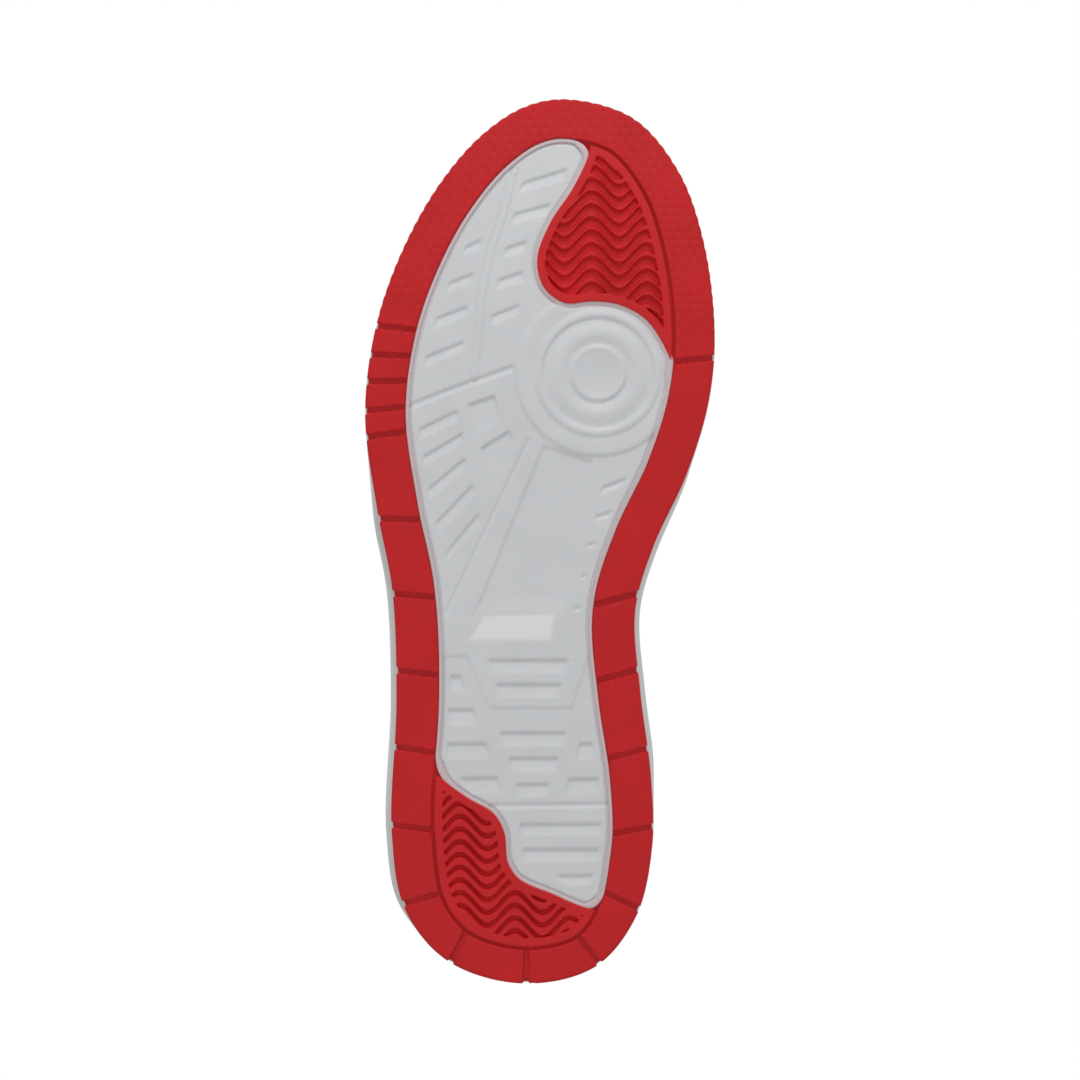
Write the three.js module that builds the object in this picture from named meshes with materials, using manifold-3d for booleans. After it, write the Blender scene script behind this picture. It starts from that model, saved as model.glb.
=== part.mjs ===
// A right bowling shoe: a red rubber rim sole with a white moulded plate, a foam midsole and a laced low-cut upper.
// Millimetres, +Z up. The sole stands on z = 0, with the toe along -Y, the heel along +Y and the inner side along +X.
import * as THREE from "three";
import { mergeVertices } from "three/addons/utils/BufferGeometryUtils.js";
import Module from "manifold-3d";

const wasm = await Module();
wasm.setup();

// ---- Driving dimensions ----
const SOLE_LENGTH = 300; // toe tip to heel tip of the rubber rim
const SOLE_WIDTH = 118.6; // across the ball of the foot
const GAP = 0.3; // between pieces that touch
const OUTLINE_LENGTH = 300; // the size that the outlines below are drawn at
const OUTLINE_WIDTH = 118.6;

const RUBBER = 5; // thickness of the rim and the tread pads
const RIM_WIDTH = 13.4; // tread width of the rim
const WAIST_EXTRA = 0.8; // the rim is wider at the waist
const HEEL_LESS = 2; // and narrower round the heel
const RIM_ROUND = 0.8; // rounded bottom edge
const RIM_WALL = 2.2; // upstanding lip that holds the midsole
const RIM_LIP = 1.2; // height of the lip above the rubber
const BUMPER = 12; // height of the toe bumper above the rubber
const SLOT_WIDTH = 1.7;
const SLOT_DEPTH = 2.2;
const NOTCH_CUT = 1.2; // a slot notches the rim's side wall this deep
const NOTCH_REACH = 5;
const PAD_GROOVE = 1.1; // groove between the rim and a tread pad
const WAVE_PITCH = 4.45; // tread waves of the pads
const WAVE_LENGTH = 18.6;
const WAVE_HEIGHT = 3.3; // half of the peak-to-peak height
const WAVE_DEPTH = 1.2;
const TOE_RECESS = 2.7; // width of a wave recess in the toe pad
const HEEL_RECESS = 1.5; // and in the heel pad
const PAD_BORDER = 3;
const PLATE_RECESS = 1.2; // the white plate lies this far above the ground
const POCKET_DEPTH = 1.2;
const PLATE_LIP = 1.6; // raised edge of the plate

const TOE_SPRING = 11;
const SPRING_START = -40;
const CUP_WALL = 4; // foam wall round the upper
const CUP_FLOOR = 11; // height of the foam under the forefoot
const CUP_TOP = 20.5; // top of the foam wall at the forefoot
const HEEL_LIFT = 5; // extra foam under the heel
const FOAM_BULGE = 2; // the foam stands proud of the rubber's outer side
const INNER_BULGE = 1.5; // and of its inner side
const FOAM_REST = 0.4; // elsewhere

const LINING = 2.2; // thickness of the lining
const LEATHER = 1.6;
const VAMP_LINING = 1.4; // bonded inside the vamp
const OVERLAY = 1.2;
const LAYER_GAP = 0.5;
const UPPER_LIFT = 1.1; // the upper's lower edge stands this far above the foam
const BOARD = 1.6; // strobel board
const BOARD_CLEARANCE = 0.9;
const INSOLE = 4;
const INSOLE_CLEARANCE = 1.6;
const TONGUE = 6;
const TONGUE_DROP = 1.7; // the tongue lies this far below the inside of the upper
const COLLAR_PAD = 5;
const EYELETS = 6; // a side
const FIRST_EYELET = 0.432; // along the side, 0 at the toe and 1 at the heel
const LAST_EYELET = 0.6;
const EYELET_BORE = 2.4;
const EYELET_BARREL = 3;
const EYELET_FLANGE = 4.4;
const EYELET_CLEARANCE = 0.35;
const EYELET_SIDES = 8;
const LACE_RADIUS = 1.3;
const AGLET_LENGTH = 20;
const AGLET_RADIUS = 1.7;
const LOOP_WIDTH = 14; // heel pull loop
const LOOP_WEBBING = 1.6;
const LOOP_HEIGHT = 22;

// Outline of the rubber rim for a sole of 300 x 118.6, from the toe tip round the inner side.
const OUTLINE = [
  [9.6, -150], [31.7, -143.5], [47.1, -125.2], [55.6, -100.9], [59.2, -70], [57, -46.2], [49.5, -21.8],
  [38.3, 2.6], [32.3, 24], [34, 51.2], [37.6, 80], [38, 104], [32.5, 127.5], [18.5, 144.5], [-5.9, 150],
  [-31, 142.5], [-45.4, 125.3], [-50.1, 99], [-48.5, 54.3], [-49.9, 17.1], [-54.9, -9.6], [-59.1, -42],
  [-55.9, -70.5], [-48.1, -94.8], [-35.3, -119.1], [-20.1, -137.4], [-5, -147.5],
];
// Edges of the tread pads that face the plate, and the ends of the slots: [y at the rim's edge, y at its window].
const TOE_PAD_EDGE = [
  [47, -55], [40.5, -68.5], [35.5, -75], [27, -79.6], [18, -80.8], [8.5, -80.2], [1.4, -85.5],
  [-0.9, -95], [3.6, -107.6], [11.2, -119.2], [16.6, -131], [18, -140],
];
const HEEL_PAD_EDGE = [
  [-42, 72], [-33.5, 80.5], [-24.4, 87.2], [-15.6, 92.5], [-12, 99], [-10.8, 109], [-7, 114.6],
  [4.1, 119.6], [15.4, 124.3], [30, 127],
];
const OUTER_SLOTS = [
  [-72.5, -70.9], [-62.6, -62.1], [-53.5, -53.7], [-43.6, -44.9], [-34.6, -36.6], [-7.2, -6.7],
  [18.2, 19.5], [44.1, 45.8], [70, 72.1], [96.4, 98.1], [123.1, 119.7],
];
const INNER_SLOTS = [
  [-61.6, -60.2], [18.3, 22.1], [43.9, 47.8], [70.5, 74], [96.9, 99.4], [124.9, 119.2],
];
// Slots round the heel tip, as places along the rim at its edge and at its window.
const HEEL_SLOTS = [[-0.925, -0.921], [1, 1], [0.926, 0.928]];

// The plate's pivot disc and its pockets, each four corners.
const PIVOT = [19.7, -56.4];
const PIVOT_GROOVES = [[9.8, 12.6], [15.5, 17.8], [21.4, 22.4]];
const POCKETS = [
  [[-6, -121.5], [10, -126.5], [8.5, -122], [-7.5, -117.5]],
  [[-9, -110.8], [4.4, -114.5], [2.5, -110], [-10.5, -106.5]],
  [[-11.8, -99.2], [-3.8, -101.8], [-4.6, -97.6], [-13, -95.3]],
  [[-14.4, -88.4], [-5.6, -91.2], [-5, -87.5], [-15.2, -84.5]],
  [[-16.5, -76.3], [-6, -80.2], [-7.5, -76.3], [-16.9, -72]],
  [[-25.3, -99.6], [-19.4, -102.4], [-19.8, -98.7], [-26.4, -96.2]],
  [[-30.7, -87.5], [-22, -90.8], [-22.4, -87.1], [-32, -83.7]],
  [[-35, -75.5], [-24, -79.6], [-24.5, -75.9], [-36.3, -71.2]],
  [[-38.5, -62.4], [-25.3, -67.6], [-25.5, -64.4], [-39.5, -58.2]],
  [[-41, -37.8], [-27.8, -44.3], [-27, -40.6], [-41, -33.6]],
  [[-39.8, -28.4], [-26, -36.6], [-25.5, -33.1], [-39.4, -24.7]],
  [[-38, -17.5], [-25, -28.2], [-24.1, -24.7], [-37.6, -13.3]],
  [[-35.5, -5.9], [-22.6, -19.2], [-21.6, -15.8], [-34.3, -1.4]],
  [[-31.5, 3.6], [-20.6, -9.6], [-19.6, -6.4], [-33, 8.5]],
  [[-24.5, -46], [-15.1, -49.2], [-12.9, -40.6], [-21.8, -35.1]],
  [[-20.3, -31.1], [-10.7, -37.1], [-7.7, -33.6], [-17.1, -13.8]],
  [[-18, 40.2], [10, 40.2], [8.7, 45], [-16.7, 45]],
  [[-15.2, 48.4], [7.6, 48.4], [6.6, 53.4], [-13.9, 53.4]],
  [[-30.4, 45.6], [-26.4, 45.6], [-24.9, 51.2], [-30.8, 51.2]],
  [[-31.2, 57], [-22.1, 57], [-20.8, 62.9], [-31.4, 62.9]],
  [[-31.4, 68.5], [-18, 68.5], [-16.3, 74.3], [-32, 74.3]],
  [[-27.5, 80.3], [-14.1, 80.1], [-12.6, 85.9], [-23, 86]],
  [[-13.7, 64.8], [9.2, 64.8], [8.3, 69.8], [-12.8, 69.8]],
  [[-10.7, 73.4], [6.6, 73.4], [6.1, 78.4], [-9.8, 78.4]],
  [[-8.5, 82.4], [3.8, 82.2], [2.3, 86.7], [-7, 87]],
  [[13, 68.5], [18, 68.5], [18.7, 74.3], [12, 74.3]],
  [[9.6, 80.5], [20.2, 80.3], [20.4, 85.9], [8.3, 86.1]],
  [[-7, 95.8], [21, 95.6], [21, 99.9], [-7, 100.1]],
  [[-6, 104.2], [20.4, 104.2], [20, 108.7], [-5.6, 108.9]],
  [[4.8, 113.3], [18.6, 113], [17.4, 116.6], [9.2, 116.9]],
  [[20.9, -18.1], [30, -21.5], [29, -18.6], [20.2, -15]],
  [[18.6, -8.3], [25, -10.3], [24, -7.8], [18.3, -6.2]],
];
// The long panel between the strut and the arch.
const PANEL = [[1.8, -31], [17.5, -26], [15.8, 0], [6.4, 33], [5, 23.5], [-19, 23.5]];

// Crest line of the foot's space from the toe to the heel, in even steps along the side.
const SPINE = [
  [9, -113, 45], [8, -104, 49], [5, -86, 55], [2, -57, 66], [-2, -16, 86], [-5, 28, 108], [-6, 66, 128],
  [-6, 94, 142], [-6, 106, 150],
];
// Edge of the throat and the collar: [place along the side, height as a share of the way to the crest].
const TOPLINE = [
  [0.4, 1], [0.42, 0.9], [0.45, 0.84], [0.5, 0.81], [0.56, 0.8], [0.6, 0.79], [0.625, 0.73], [0.65, 0.59],
  [0.68, 0.42], [0.72, 0.31], [0.77, 0.25], [0.83, 0.228], [0.9, 0.232], [0.95, 0.25], [1, 0.27],
];

// ---- Curves and levels ----
const { clamp, smoothstep, lerp } = THREE.MathUtils;

const alongY = SOLE_LENGTH / OUTLINE_LENGTH;
const acrossX = SOLE_WIDTH / OUTLINE_WIDTH;

// Smooth curve through [x, y] points, read at x.
function through(points, x) {
  const last = points.length - 2;
  const found = points.findIndex((p, k) => k > 0 && x <= p[0]) - 1;
  const i = clamp(found < 0 ? (x <= points[0][0] ? 0 : last) : found, 0, last);
  const slope = (k) => {
    const a = points[Math.max(k - 1, 0)];
    const b = points[Math.min(k + 1, points.length - 1)];
    return (b[1] - a[1]) / (b[0] - a[0]);
  };
  const [x0, y0] = points[i];
  const [x1, y1] = points[i + 1];
  const h = x1 - x0;
  const u = clamp((x - x0) / h, 0, 1);
  const rest = u * (1 - u);
  return y0 + (y1 - y0) * u * u * (3 - 2 * u) + rest * h * (slope(i) * (1 - u) - slope(i + 1) * u);
}

function spread(points) {
  return points.map(([x, y]) => [x * acrossX, y * alongY]);
}

function smoothLine(points, count, closed) {
  const vectors = spread(points).map(([x, y]) => new THREE.Vector3(x, y, 0));
  const curve = new THREE.CatmullRomCurve3(vectors, closed, "centripetal");
  return curve.getSpacedPoints(count);
}

const EDGE_SAMPLES = 720;
const edgeLine = smoothLine(OUTLINE, EDGE_SAMPLES, true).slice(0, EDGE_SAMPLES);
const heelTip = edgeLine.reduce((best, p, i) => (p.y > edgeLine[best].y ? i : best), 0);
const innerLine = edgeLine.slice(0, heelTip + 1);
const outerLine = [edgeLine[0], ...edgeLine.slice(heelTip).reverse()];
const SIDE_LENGTH = SOLE_LENGTH * 1.15; // toe to heel round one side, nearly

// A place along the rim: s runs 0 at the toe tip to 1 at the heel on the inner side and to -1 on the outer side.
function wrap(s) {
  return s > 1 ? s - 2 : s < -1 ? s + 2 : s;
}

function edgePoint(s) {
  const line = s < 0 ? outerLine : innerLine;
  const at = clamp(Math.abs(s), 0, 1) * (line.length - 1);
  const i = Math.min(Math.floor(at), line.length - 2);
  return line[i].clone().lerp(line[i + 1], at - i);
}

function edgeNormal(s) {
  const step = 0.006;
  const along = edgePoint(wrap(s + step)).sub(edgePoint(wrap(s - step)));
  return new THREE.Vector3(along.y, -along.x, 0).normalize();
}

function rimPoint(s, out) {
  return edgePoint(s).addScaledVector(edgeNormal(s), out);
}

function rimWidth(y) {
  const waist = WAIST_EXTRA * Math.exp(-(((y / alongY - 40) / 35) ** 2));
  return RIM_WIDTH + waist - HEEL_LESS * smoothstep(y / alongY, 110, 148);
}

function spring(y) {
  const past = Math.max(0, SPRING_START - y / alongY) / (150 + SPRING_START);
  return TOE_SPRING * past * past;
}

const heelRise = (y) => smoothstep(y / alongY, -40, 90);
const floorLevel = (y) => CUP_FLOOR + HEEL_LIFT * heelRise(y);
const floorZ = (y) => floorLevel(y) + spring(y);
const cupTop = (y) => CUP_TOP + (HEEL_LIFT + 1) * heelRise(y);
const bumperZ = (y) => RUBBER + RIM_LIP + (BUMPER - RIM_LIP) * smoothstep(-y / alongY, 66, 104);

// How far the foam stands proud of the rubber: most at the waist, and hardly at the toe and the heel.
function bulge(p) {
  const y = p.y / alongY;
  const isInner = p.x > 0;
  const end = isInner ? smoothstep(y, 68, 96) : smoothstep(y, 116, 140);
  const sides = smoothstep(y, -35, 0) * (1 - end);
  return FOAM_REST + (isInner ? INNER_BULGE : FOAM_BULGE) * sides;
}

// ---- Solids ----
function geometryOf(triangles) {
  const geometry = new THREE.BufferGeometry().setFromPoints(triangles);
  return mergeVertices(geometry, 1e-4);
}

function solidOf(geometry) {
  const bare = geometry.clone();
  bare.deleteAttribute("normal");
  bare.deleteAttribute("uv");
  const merged = mergeVertices(bare, 1e-4);
  const mesh = { numProp: 3, vertProperties: merged.attributes.position.array };
  mesh.triVerts = new Uint32Array(merged.index.array);
  return new wasm.Manifold(new wasm.Mesh(mesh));
}

function geometryFrom(solid) {
  const mesh = solid.getMesh();
  const geometry = new THREE.BufferGeometry();
  geometry.setAttribute("position", new THREE.BufferAttribute(mesh.vertProperties, 3));
  geometry.setIndex(new THREE.BufferAttribute(mesh.triVerts, 1));
  return geometry;
}

function cornersOf(geometry) {
  const loose = geometry.index ? geometry.toNonIndexed() : geometry;
  const position = loose.getAttribute("position");
  return Array.from({ length: position.count }, (_, i) => new THREE.Vector3().fromBufferAttribute(position, i));
}

// Splits each edge that runs further than the limit along Y, so that a bend along Y stays smooth.
function splitAlongY(corners, limit) {
  const out = [];
  const work = [];
  for (let i = 0; i < corners.length; i += 3) work.push([corners[i], corners[i + 1], corners[i + 2]]);
  while (work.length) {
    const face = work.pop();
    const long = face.map((p, k) => Math.abs(p.y - face[(k + 1) % 3].y) > limit);
    const count = long.filter(Boolean).length;
    if (count === 0) {
      out.push(...face);
      continue;
    }
    const start = count === 2 ? (long.indexOf(false) + 1) % 3 : long.indexOf(true);
    const [a, b, c] = [0, 1, 2].map((k) => face[(start + k) % 3]);
    const ab = a.clone().add(b).multiplyScalar(0.5);
    const bc = b.clone().add(c).multiplyScalar(0.5);
    const ca = c.clone().add(a).multiplyScalar(0.5);
    if (count === 1) work.push([a, ab, c], [ab, b, c]);
    if (count === 2) work.push([ab, b, bc], [a, ab, bc], [a, bc, c]);
    if (count === 3) work.push([a, ab, ca], [ab, b, bc], [ca, bc, c], [ab, bc, ca]);
  }
  return out;
}

const BEND_STEP = 24;

function lifted(geometry, liftAt) {
  const corners = splitAlongY(cornersOf(geometry), BEND_STEP);
  return geometryOf(corners.map((p) => new THREE.Vector3(p.x, p.y, p.z + liftAt(p.y))));
}

function prism(points, low, high) {
  const shape = new THREE.Shape(points.map(({ x, y }) => new THREE.Vector2(x, y)));
  const geometry = new THREE.ExtrudeGeometry(shape, { depth: high - low, bevelEnabled: false, steps: 1 });
  return geometry.translate(0, 0, low);
}

// The place on one side where a line that runs from toe to heel reaches y.
function placeAt(side, y, line) {
  let [low, high] = [0, 1];
  for (let k = 0; k < 30; k++) {
    const middle = (low + high) / 2;
    if (line(side * middle).y < y) low = middle;
    else high = middle;
  }
  return side * low;
}

// Stations all round the rim, level with each other in y and closer together round the toe and the heel.
const STATIONS = 26;
const stationY = (k) => (-SOLE_LENGTH / 2) * Math.cos((Math.PI * k) / STATIONS);
const ringStations = [0];
for (let k = 1; k < STATIONS; k++) ringStations.push(placeAt(1, stationY(k), edgePoint));
ringStations.push(1);
for (let k = STATIONS - 1; k > 0; k--) ringStations.push(placeAt(-1, stationY(k), edgePoint));

function ringCurve(inset) {
  return ringStations.map((s) => rimPoint(s, -inset));
}

// Walls between neighbouring loops of equal length; a list of loops, each a list of points.
function loopWalls(loops, closedAcross) {
  const triangles = [];
  const rows = closedAcross ? loops.length : loops.length - 1;
  for (let r = 0; r < rows; r++) {
    const low = loops[r];
    const high = loops[(r + 1) % loops.length];
    low.forEach((p, i) => {
      const next = (i + 1) % low.length;
      triangles.push(p, low[next], high[next], p, high[next], high[i]);
    });
  }
  return triangles;
}

// Closes a loop of ring stations with rungs from side to side.
function ladder(loop, facesUp) {
  const count = loop.length;
  const triangles = [];
  for (let k = 0; k < STATIONS; k++) {
    const [a, b] = [loop[k], loop[k + 1]];
    const [c, d] = [loop[count - k - 1], loop[(count - k) % count]];
    if (k < STATIONS - 1) triangles.push(...(facesUp ? [a, b, c] : [a, c, b]));
    if (k > 0) triangles.push(...(facesUp ? [a, c, d] : [a, d, c]));
  }
  return triangles;
}

// A slab that follows a level along the shoe.
function slab(inset, low, high, levelAt) {
  const bottom = ringCurve(inset).map((p) => p.setZ(levelAt(p.y) + low));
  const top = bottom.map((p) => p.clone().setZ(p.z + high - low));
  return geometryOf([...loopWalls([bottom, top], false), ...ladder(bottom, false), ...ladder(top, true)]);
}

// ---- Sole ----
const windowPoint = (s) => rimPoint(s, -rimWidth(edgePoint(s).y));

function slotTool(outer, inner) {
  const across = outer.clone().sub(inner);
  const angle = Math.atan2(across.y, across.x);
  const middle = outer.clone().lerp(inner, 0.5);
  const groove = new THREE.BoxGeometry(across.length() + 4, SLOT_WIDTH, SLOT_DEPTH * 2);
  groove.rotateZ(angle).translate(middle.x, middle.y, 0);
  const notch = new THREE.BoxGeometry(NOTCH_REACH, SLOT_WIDTH - 0.2, (RUBBER + BUMPER) * 2);
  const past = outer.clone().addScaledVector(across.normalize(), NOTCH_REACH / 2 - NOTCH_CUT);
  notch.rotateZ(angle).translate(past.x, past.y, 0);
  return solidOf(groove).add(solidOf(notch));
}

function slotTools() {
  const onSide = (side, slots) =>
    slots.map(([outerY, innerY]) =>
      slotTool(
        edgePoint(placeAt(side, outerY * alongY, edgePoint)),
        windowPoint(placeAt(side, innerY * alongY, windowPoint)),
      ),
    );
  const atHeel = HEEL_SLOTS.map(([outer, inner]) => slotTool(edgePoint(outer), windowPoint(inner)));
  return [...onSide(-1, OUTER_SLOTS), ...onSide(1, INNER_SLOTS), ...atHeel];
}

function rimSolid() {
  const profiles = ringStations.map((s) => {
    const y = edgePoint(s).y;
    const width = rimWidth(y);
    const top = bumperZ(y);
    const lean = 0.03 * (top - RUBBER);
    return [
      [-width, 0], [-RIM_ROUND, 0], [0, RIM_ROUND], [0, RUBBER], [-lean, top], [-RIM_WALL - lean, top],
      [-RIM_WALL, RUBBER], [-width, RUBBER],
    ].map(([out, z]) => rimPoint(s, out).setZ(z));
  });
  const loops = profiles[0].map((_, row) => profiles.map((profile) => profile[row]));
  let rim = solidOf(geometryOf(loopWalls(loops, true)));
  for (const tool of slotTools()) rim = rim.subtract(tool);
  return lifted(geometryFrom(rim), spring);
}

// The window of the rim, inset, and the two regions of it that the tread pads fill.
function windowSolid(inset, low, high) {
  const loop = ringStations.map((s) => rimPoint(s, -rimWidth(edgePoint(s).y) - inset));
  return solidOf(prism(loop, low, high));
}

const EDGE_STEPS = 26;

function regionSolid(edge, corners, shift, low, high) {
  const line = smoothLine(edge, EDGE_STEPS, false);
  const moved = line.map((p, i) => {
    const along = line[Math.min(i + 1, EDGE_STEPS)].clone().sub(line[Math.max(i - 1, 0)]).normalize();
    return new THREE.Vector3(p.x - along.y * shift, p.y + along.x * shift, 0);
  });
  const rest = spread(corners).map(([x, y]) => new THREE.Vector3(x, y, 0));
  return solidOf(prism([...moved, ...rest], low, high));
}

const TOE_CORNERS = [[18, -165], [80, -165], [80, -55]];
const HEEL_CORNERS = [[30, 170], [-70, 170], [-70, 72]];
const toeRegion = (shift, low, high) => regionSolid(TOE_PAD_EDGE, TOE_CORNERS, shift, low, high);
const heelRegion = (shift, low, high) => regionSolid(HEEL_PAD_EDGE, HEEL_CORNERS, shift, low, high);

// One wave recess across a pad, as a wavy band round y; it runs so many quarter waves before and after its crest.
function waveBand(crestX, y, before, after, width) {
  const step = WAVE_LENGTH / 4;
  const upper = [];
  const lower = [];
  for (let x = crestX - before * step; x <= crestX + after * step; x += step) {
    const phase = (2 * Math.PI * (x - crestX)) / WAVE_LENGTH;
    const mid = y - WAVE_HEIGHT * Math.cos(phase);
    const slope = (WAVE_HEIGHT * 2 * Math.PI * Math.sin(phase)) / WAVE_LENGTH;
    const half = (width / 2) * Math.hypot(1, slope);
    upper.push(new THREE.Vector2(x, mid - half));
    lower.push(new THREE.Vector2(x, mid + half));
  }
  return prism([...upper, ...lower.reverse()], -1, WAVE_DEPTH);
}

function padSolid(region, waves) {
  const body = windowSolid(PAD_GROOVE, 0, RUBBER).intersect(region(0, -1, RUBBER + 1));
  const field = windowSolid(PAD_GROOVE + PAD_BORDER, -1, WAVE_DEPTH);
  const inner = field.intersect(region(PAD_BORDER, -1, WAVE_DEPTH));
  let pad = body;
  for (let y = waves.fromY; y < waves.toY; y += WAVE_PITCH) {
    const band = solidOf(waveBand(waves.crestX, y, waves.before, waves.after, waves.width));
    pad = pad.subtract(band.intersect(inner));
  }
  return lifted(geometryFrom(pad), spring);
}

function ring(inner, outer, low, high) {
  const profile = [[inner, low], [outer, low], [outer, high], [inner, high], [inner, low]];
  const points = profile.map(([r, z]) => new THREE.Vector2(r, z));
  const geometry = new THREE.LatheGeometry(points, 32).rotateX(Math.PI / 2);
  return solidOf(geometry);
}

function plateSolid() {
  const low = PLATE_RECESS;
  let plate = windowSolid(GAP, low, RUBBER);
  plate = plate.subtract(toeRegion(-PAD_GROOVE, low - 1, RUBBER + 1));
  plate = plate.subtract(heelRegion(-PAD_GROOVE, low - 1, RUBBER + 1));
  const [pivotX, pivotY] = spread([PIVOT])[0];
  for (const [inner, outer] of PIVOT_GROOVES)
    plate = plate.subtract(ring(inner, outer, low - 1, low + POCKET_DEPTH).translate([pivotX, pivotY, 0]));
  const field = windowSolid(PLATE_LIP, low - 1, low + POCKET_DEPTH);
  for (const corners of [...POCKETS, PANEL]) {
    const points = spread(corners).map(([x, y]) => new THREE.Vector2(x, y));
    const pocket = solidOf(prism(points, low - 1, low + POCKET_DEPTH));
    plate = plate.subtract(pocket.intersect(field));
  }
  return lifted(geometryFrom(plate), spring);
}

function midsoleGeometry() {
  const inside = RIM_WALL + GAP * 2;
  const rows = ringStations.map((s) => {
    const p = edgePoint(s);
    const out = bulge(p);
    const over = bumperZ(p.y) + GAP;
    const top = cupTop(p.y);
    return [
      [-inside, RUBBER + GAP], [-inside, over], [-0.6, over], [0.65 * out, lerp(over, top, 0.2)],
      [out, lerp(over, top, 0.45)], [0.55 * out - 0.5, top - 0.8], [0.55 * out - 1.3, top],
      [-CUP_WALL, top], [-CUP_WALL, floorLevel(p.y)],
    ].map(([offset, z]) => {
      const place = rimPoint(s, offset);
      return place.setZ(z + spring(place.y));
    });
  });
  const loops = rows[0].map((_, row) => rows.map((profile) => profile[row]));
  const under = ladder(loops[0], false);
  const floor = ladder(loops[loops.length - 1], true);
  return geometryOf([...loopWalls(loops, false), ...under, ...floor]);
}

// ---- Upper ----
const BASE_INSET = CUP_WALL + LAYER_GAP + OVERLAY + LAYER_GAP + LEATHER + LAYER_GAP + LINING + 0.5;
const LEATHER_AT = LINING + LAYER_GAP;
const OVERLAY_AT = LEATHER_AT + LEATHER + LAYER_GAP;
const ROUNDNESS = 0.8; // under 1 makes the sides fuller
const spineCurve = new THREE.CatmullRomCurve3(
  SPINE.map(([x, y, z]) => new THREE.Vector3(x * acrossX, y * alongY, z)),
  false,
  "catmullrom",
);

// The inside of the upper: s as on the rim, t from 0 at the sole to 1 on the crest line.
function lastPoint(s, t) {
  const base = rimPoint(s, -BASE_INSET);
  base.z = floorZ(base.y) + UPPER_LIFT;
  const crest = spineCurve.getPoint(Math.abs(s));
  const angle = (clamp(t, 0, 1) * Math.PI) / 2;
  const inward = 1 - Math.cos(angle) ** ROUNDNESS;
  const upward = Math.sin(angle) ** ROUNDNESS;
  const x = lerp(base.x, crest.x, inward);
  const y = lerp(base.y, crest.y, inward);
  return new THREE.Vector3(x, y, lerp(base.z, crest.z, upward));
}

function lastNormal(s, t) {
  const NEAR_CREST = 0.96;
  if (t > NEAR_CREST) {
    const here = lastNormal(s, NEAR_CREST);
    const there = lastNormal(-s, NEAR_CREST);
    return here.lerp(here.clone().add(there).multiplyScalar(0.5), (t - NEAR_CREST) / (1 - NEAR_CREST)).normalize();
  }
  const low = Math.max(t, 0.02);
  const along = lastPoint(wrap(s + 0.008), low).sub(lastPoint(wrap(s - 0.008), low));
  const up = lastPoint(s, low + 0.01).sub(lastPoint(s, low - 0.01));
  return along.cross(up).normalize();
}

function upperPoint(s, t, out) {
  const at = wrap(s);
  return lastPoint(at, t).addScaledVector(lastNormal(at, t), out);
}

const topline = (s) => (Math.abs(s) <= TOPLINE[0][0] ? 1 : clamp(through(TOPLINE, Math.abs(s)), 0, 1));

// A shell over a grid: place(u, v) gives [s, t], and low and high are its two distances from the last.
function shell(columns, rows, place, low, high) {
  const face = (out) =>
    Array.from({ length: rows + 1 }, (_, r) =>
      Array.from({ length: columns + 1 }, (_, c) => {
        const [s, t] = place(c / columns, r / rows);
        const distance = typeof out === "function" ? out(s, t, r / rows, c / columns) : out;
        return { point: upperPoint(s, t, distance), t };
      }),
    );
  const inside = face(low);
  const outside = face(high);
  const triangles = [];
  const quad = (a, b, c, d) => triangles.push(a.point, b.point, c.point, a.point, c.point, d.point);
  for (let r = 0; r < rows; r++)
    for (let c = 0; c < columns; c++) {
      quad(outside[r][c], outside[r][c + 1], outside[r + 1][c + 1], outside[r + 1][c]);
      quad(inside[r][c], inside[r + 1][c], inside[r + 1][c + 1], inside[r][c + 1]);
    }
  for (let c = 0; c < columns; c++) {
    quad(inside[0][c], inside[0][c + 1], outside[0][c + 1], outside[0][c]);
    const onCrest = outside[rows][c].t >= 1 && outside[rows][c + 1].t >= 1;
    if (!onCrest) quad(outside[rows][c], outside[rows][c + 1], inside[rows][c + 1], inside[rows][c]);
  }
  for (let r = 0; r < rows; r++) {
    quad(inside[r + 1][0], inside[r][0], outside[r][0], outside[r + 1][0]);
    quad(inside[r][columns], inside[r + 1][columns], outside[r + 1][columns], outside[r][columns]);
  }
  return geometryOf(triangles);
}

const along = (mm) => mm / SIDE_LENGTH;
const SEAM_LOW = 0.43; // where the vamp ends, at the sole and at the throat
const SEAM_HIGH = 0.5;
const seam = (v) => lerp(SEAM_LOW, SEAM_HIGH, v);

function vampGeometry() {
  const place = (u, v) => {
    const s = lerp(-seam(v), seam(v), u);
    return [s, topline(s) * v];
  };
  const low = (s) => LEATHER_AT - VAMP_LINING * (1 - smoothstep(Math.abs(s), 0.34, 0.38));
  return shell(30, 7, place, low, LEATHER_AT + LEATHER);
}

const QUARTER_COLUMNS = 24; // enough that the facets of two layers stay apart round the heel
const LINING_COLUMNS = 48;

function quarterGeometry(side) {
  const place = (u, v) => {
    const start = seam(v) + along(0.5);
    const s = side > 0 ? lerp(start, 1 - along(0.3), u) : lerp(-1 + along(0.3), -start, u);
    return [s, topline(s) * v];
  };
  return shell(QUARTER_COLUMNS, 6, place, LEATHER_AT, LEATHER_AT + LEATHER);
}

const LINING_START = 0.51;
const LINING_BELOW_THROAT = 0.25;

function liningTop(s) {
  const at = Math.abs(wrap(s));
  const collar = smoothstep(at, 0.61, 0.66);
  return topline(at) - LINING_BELOW_THROAT * (1 - collar) + 0.012 * collar;
}

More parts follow.
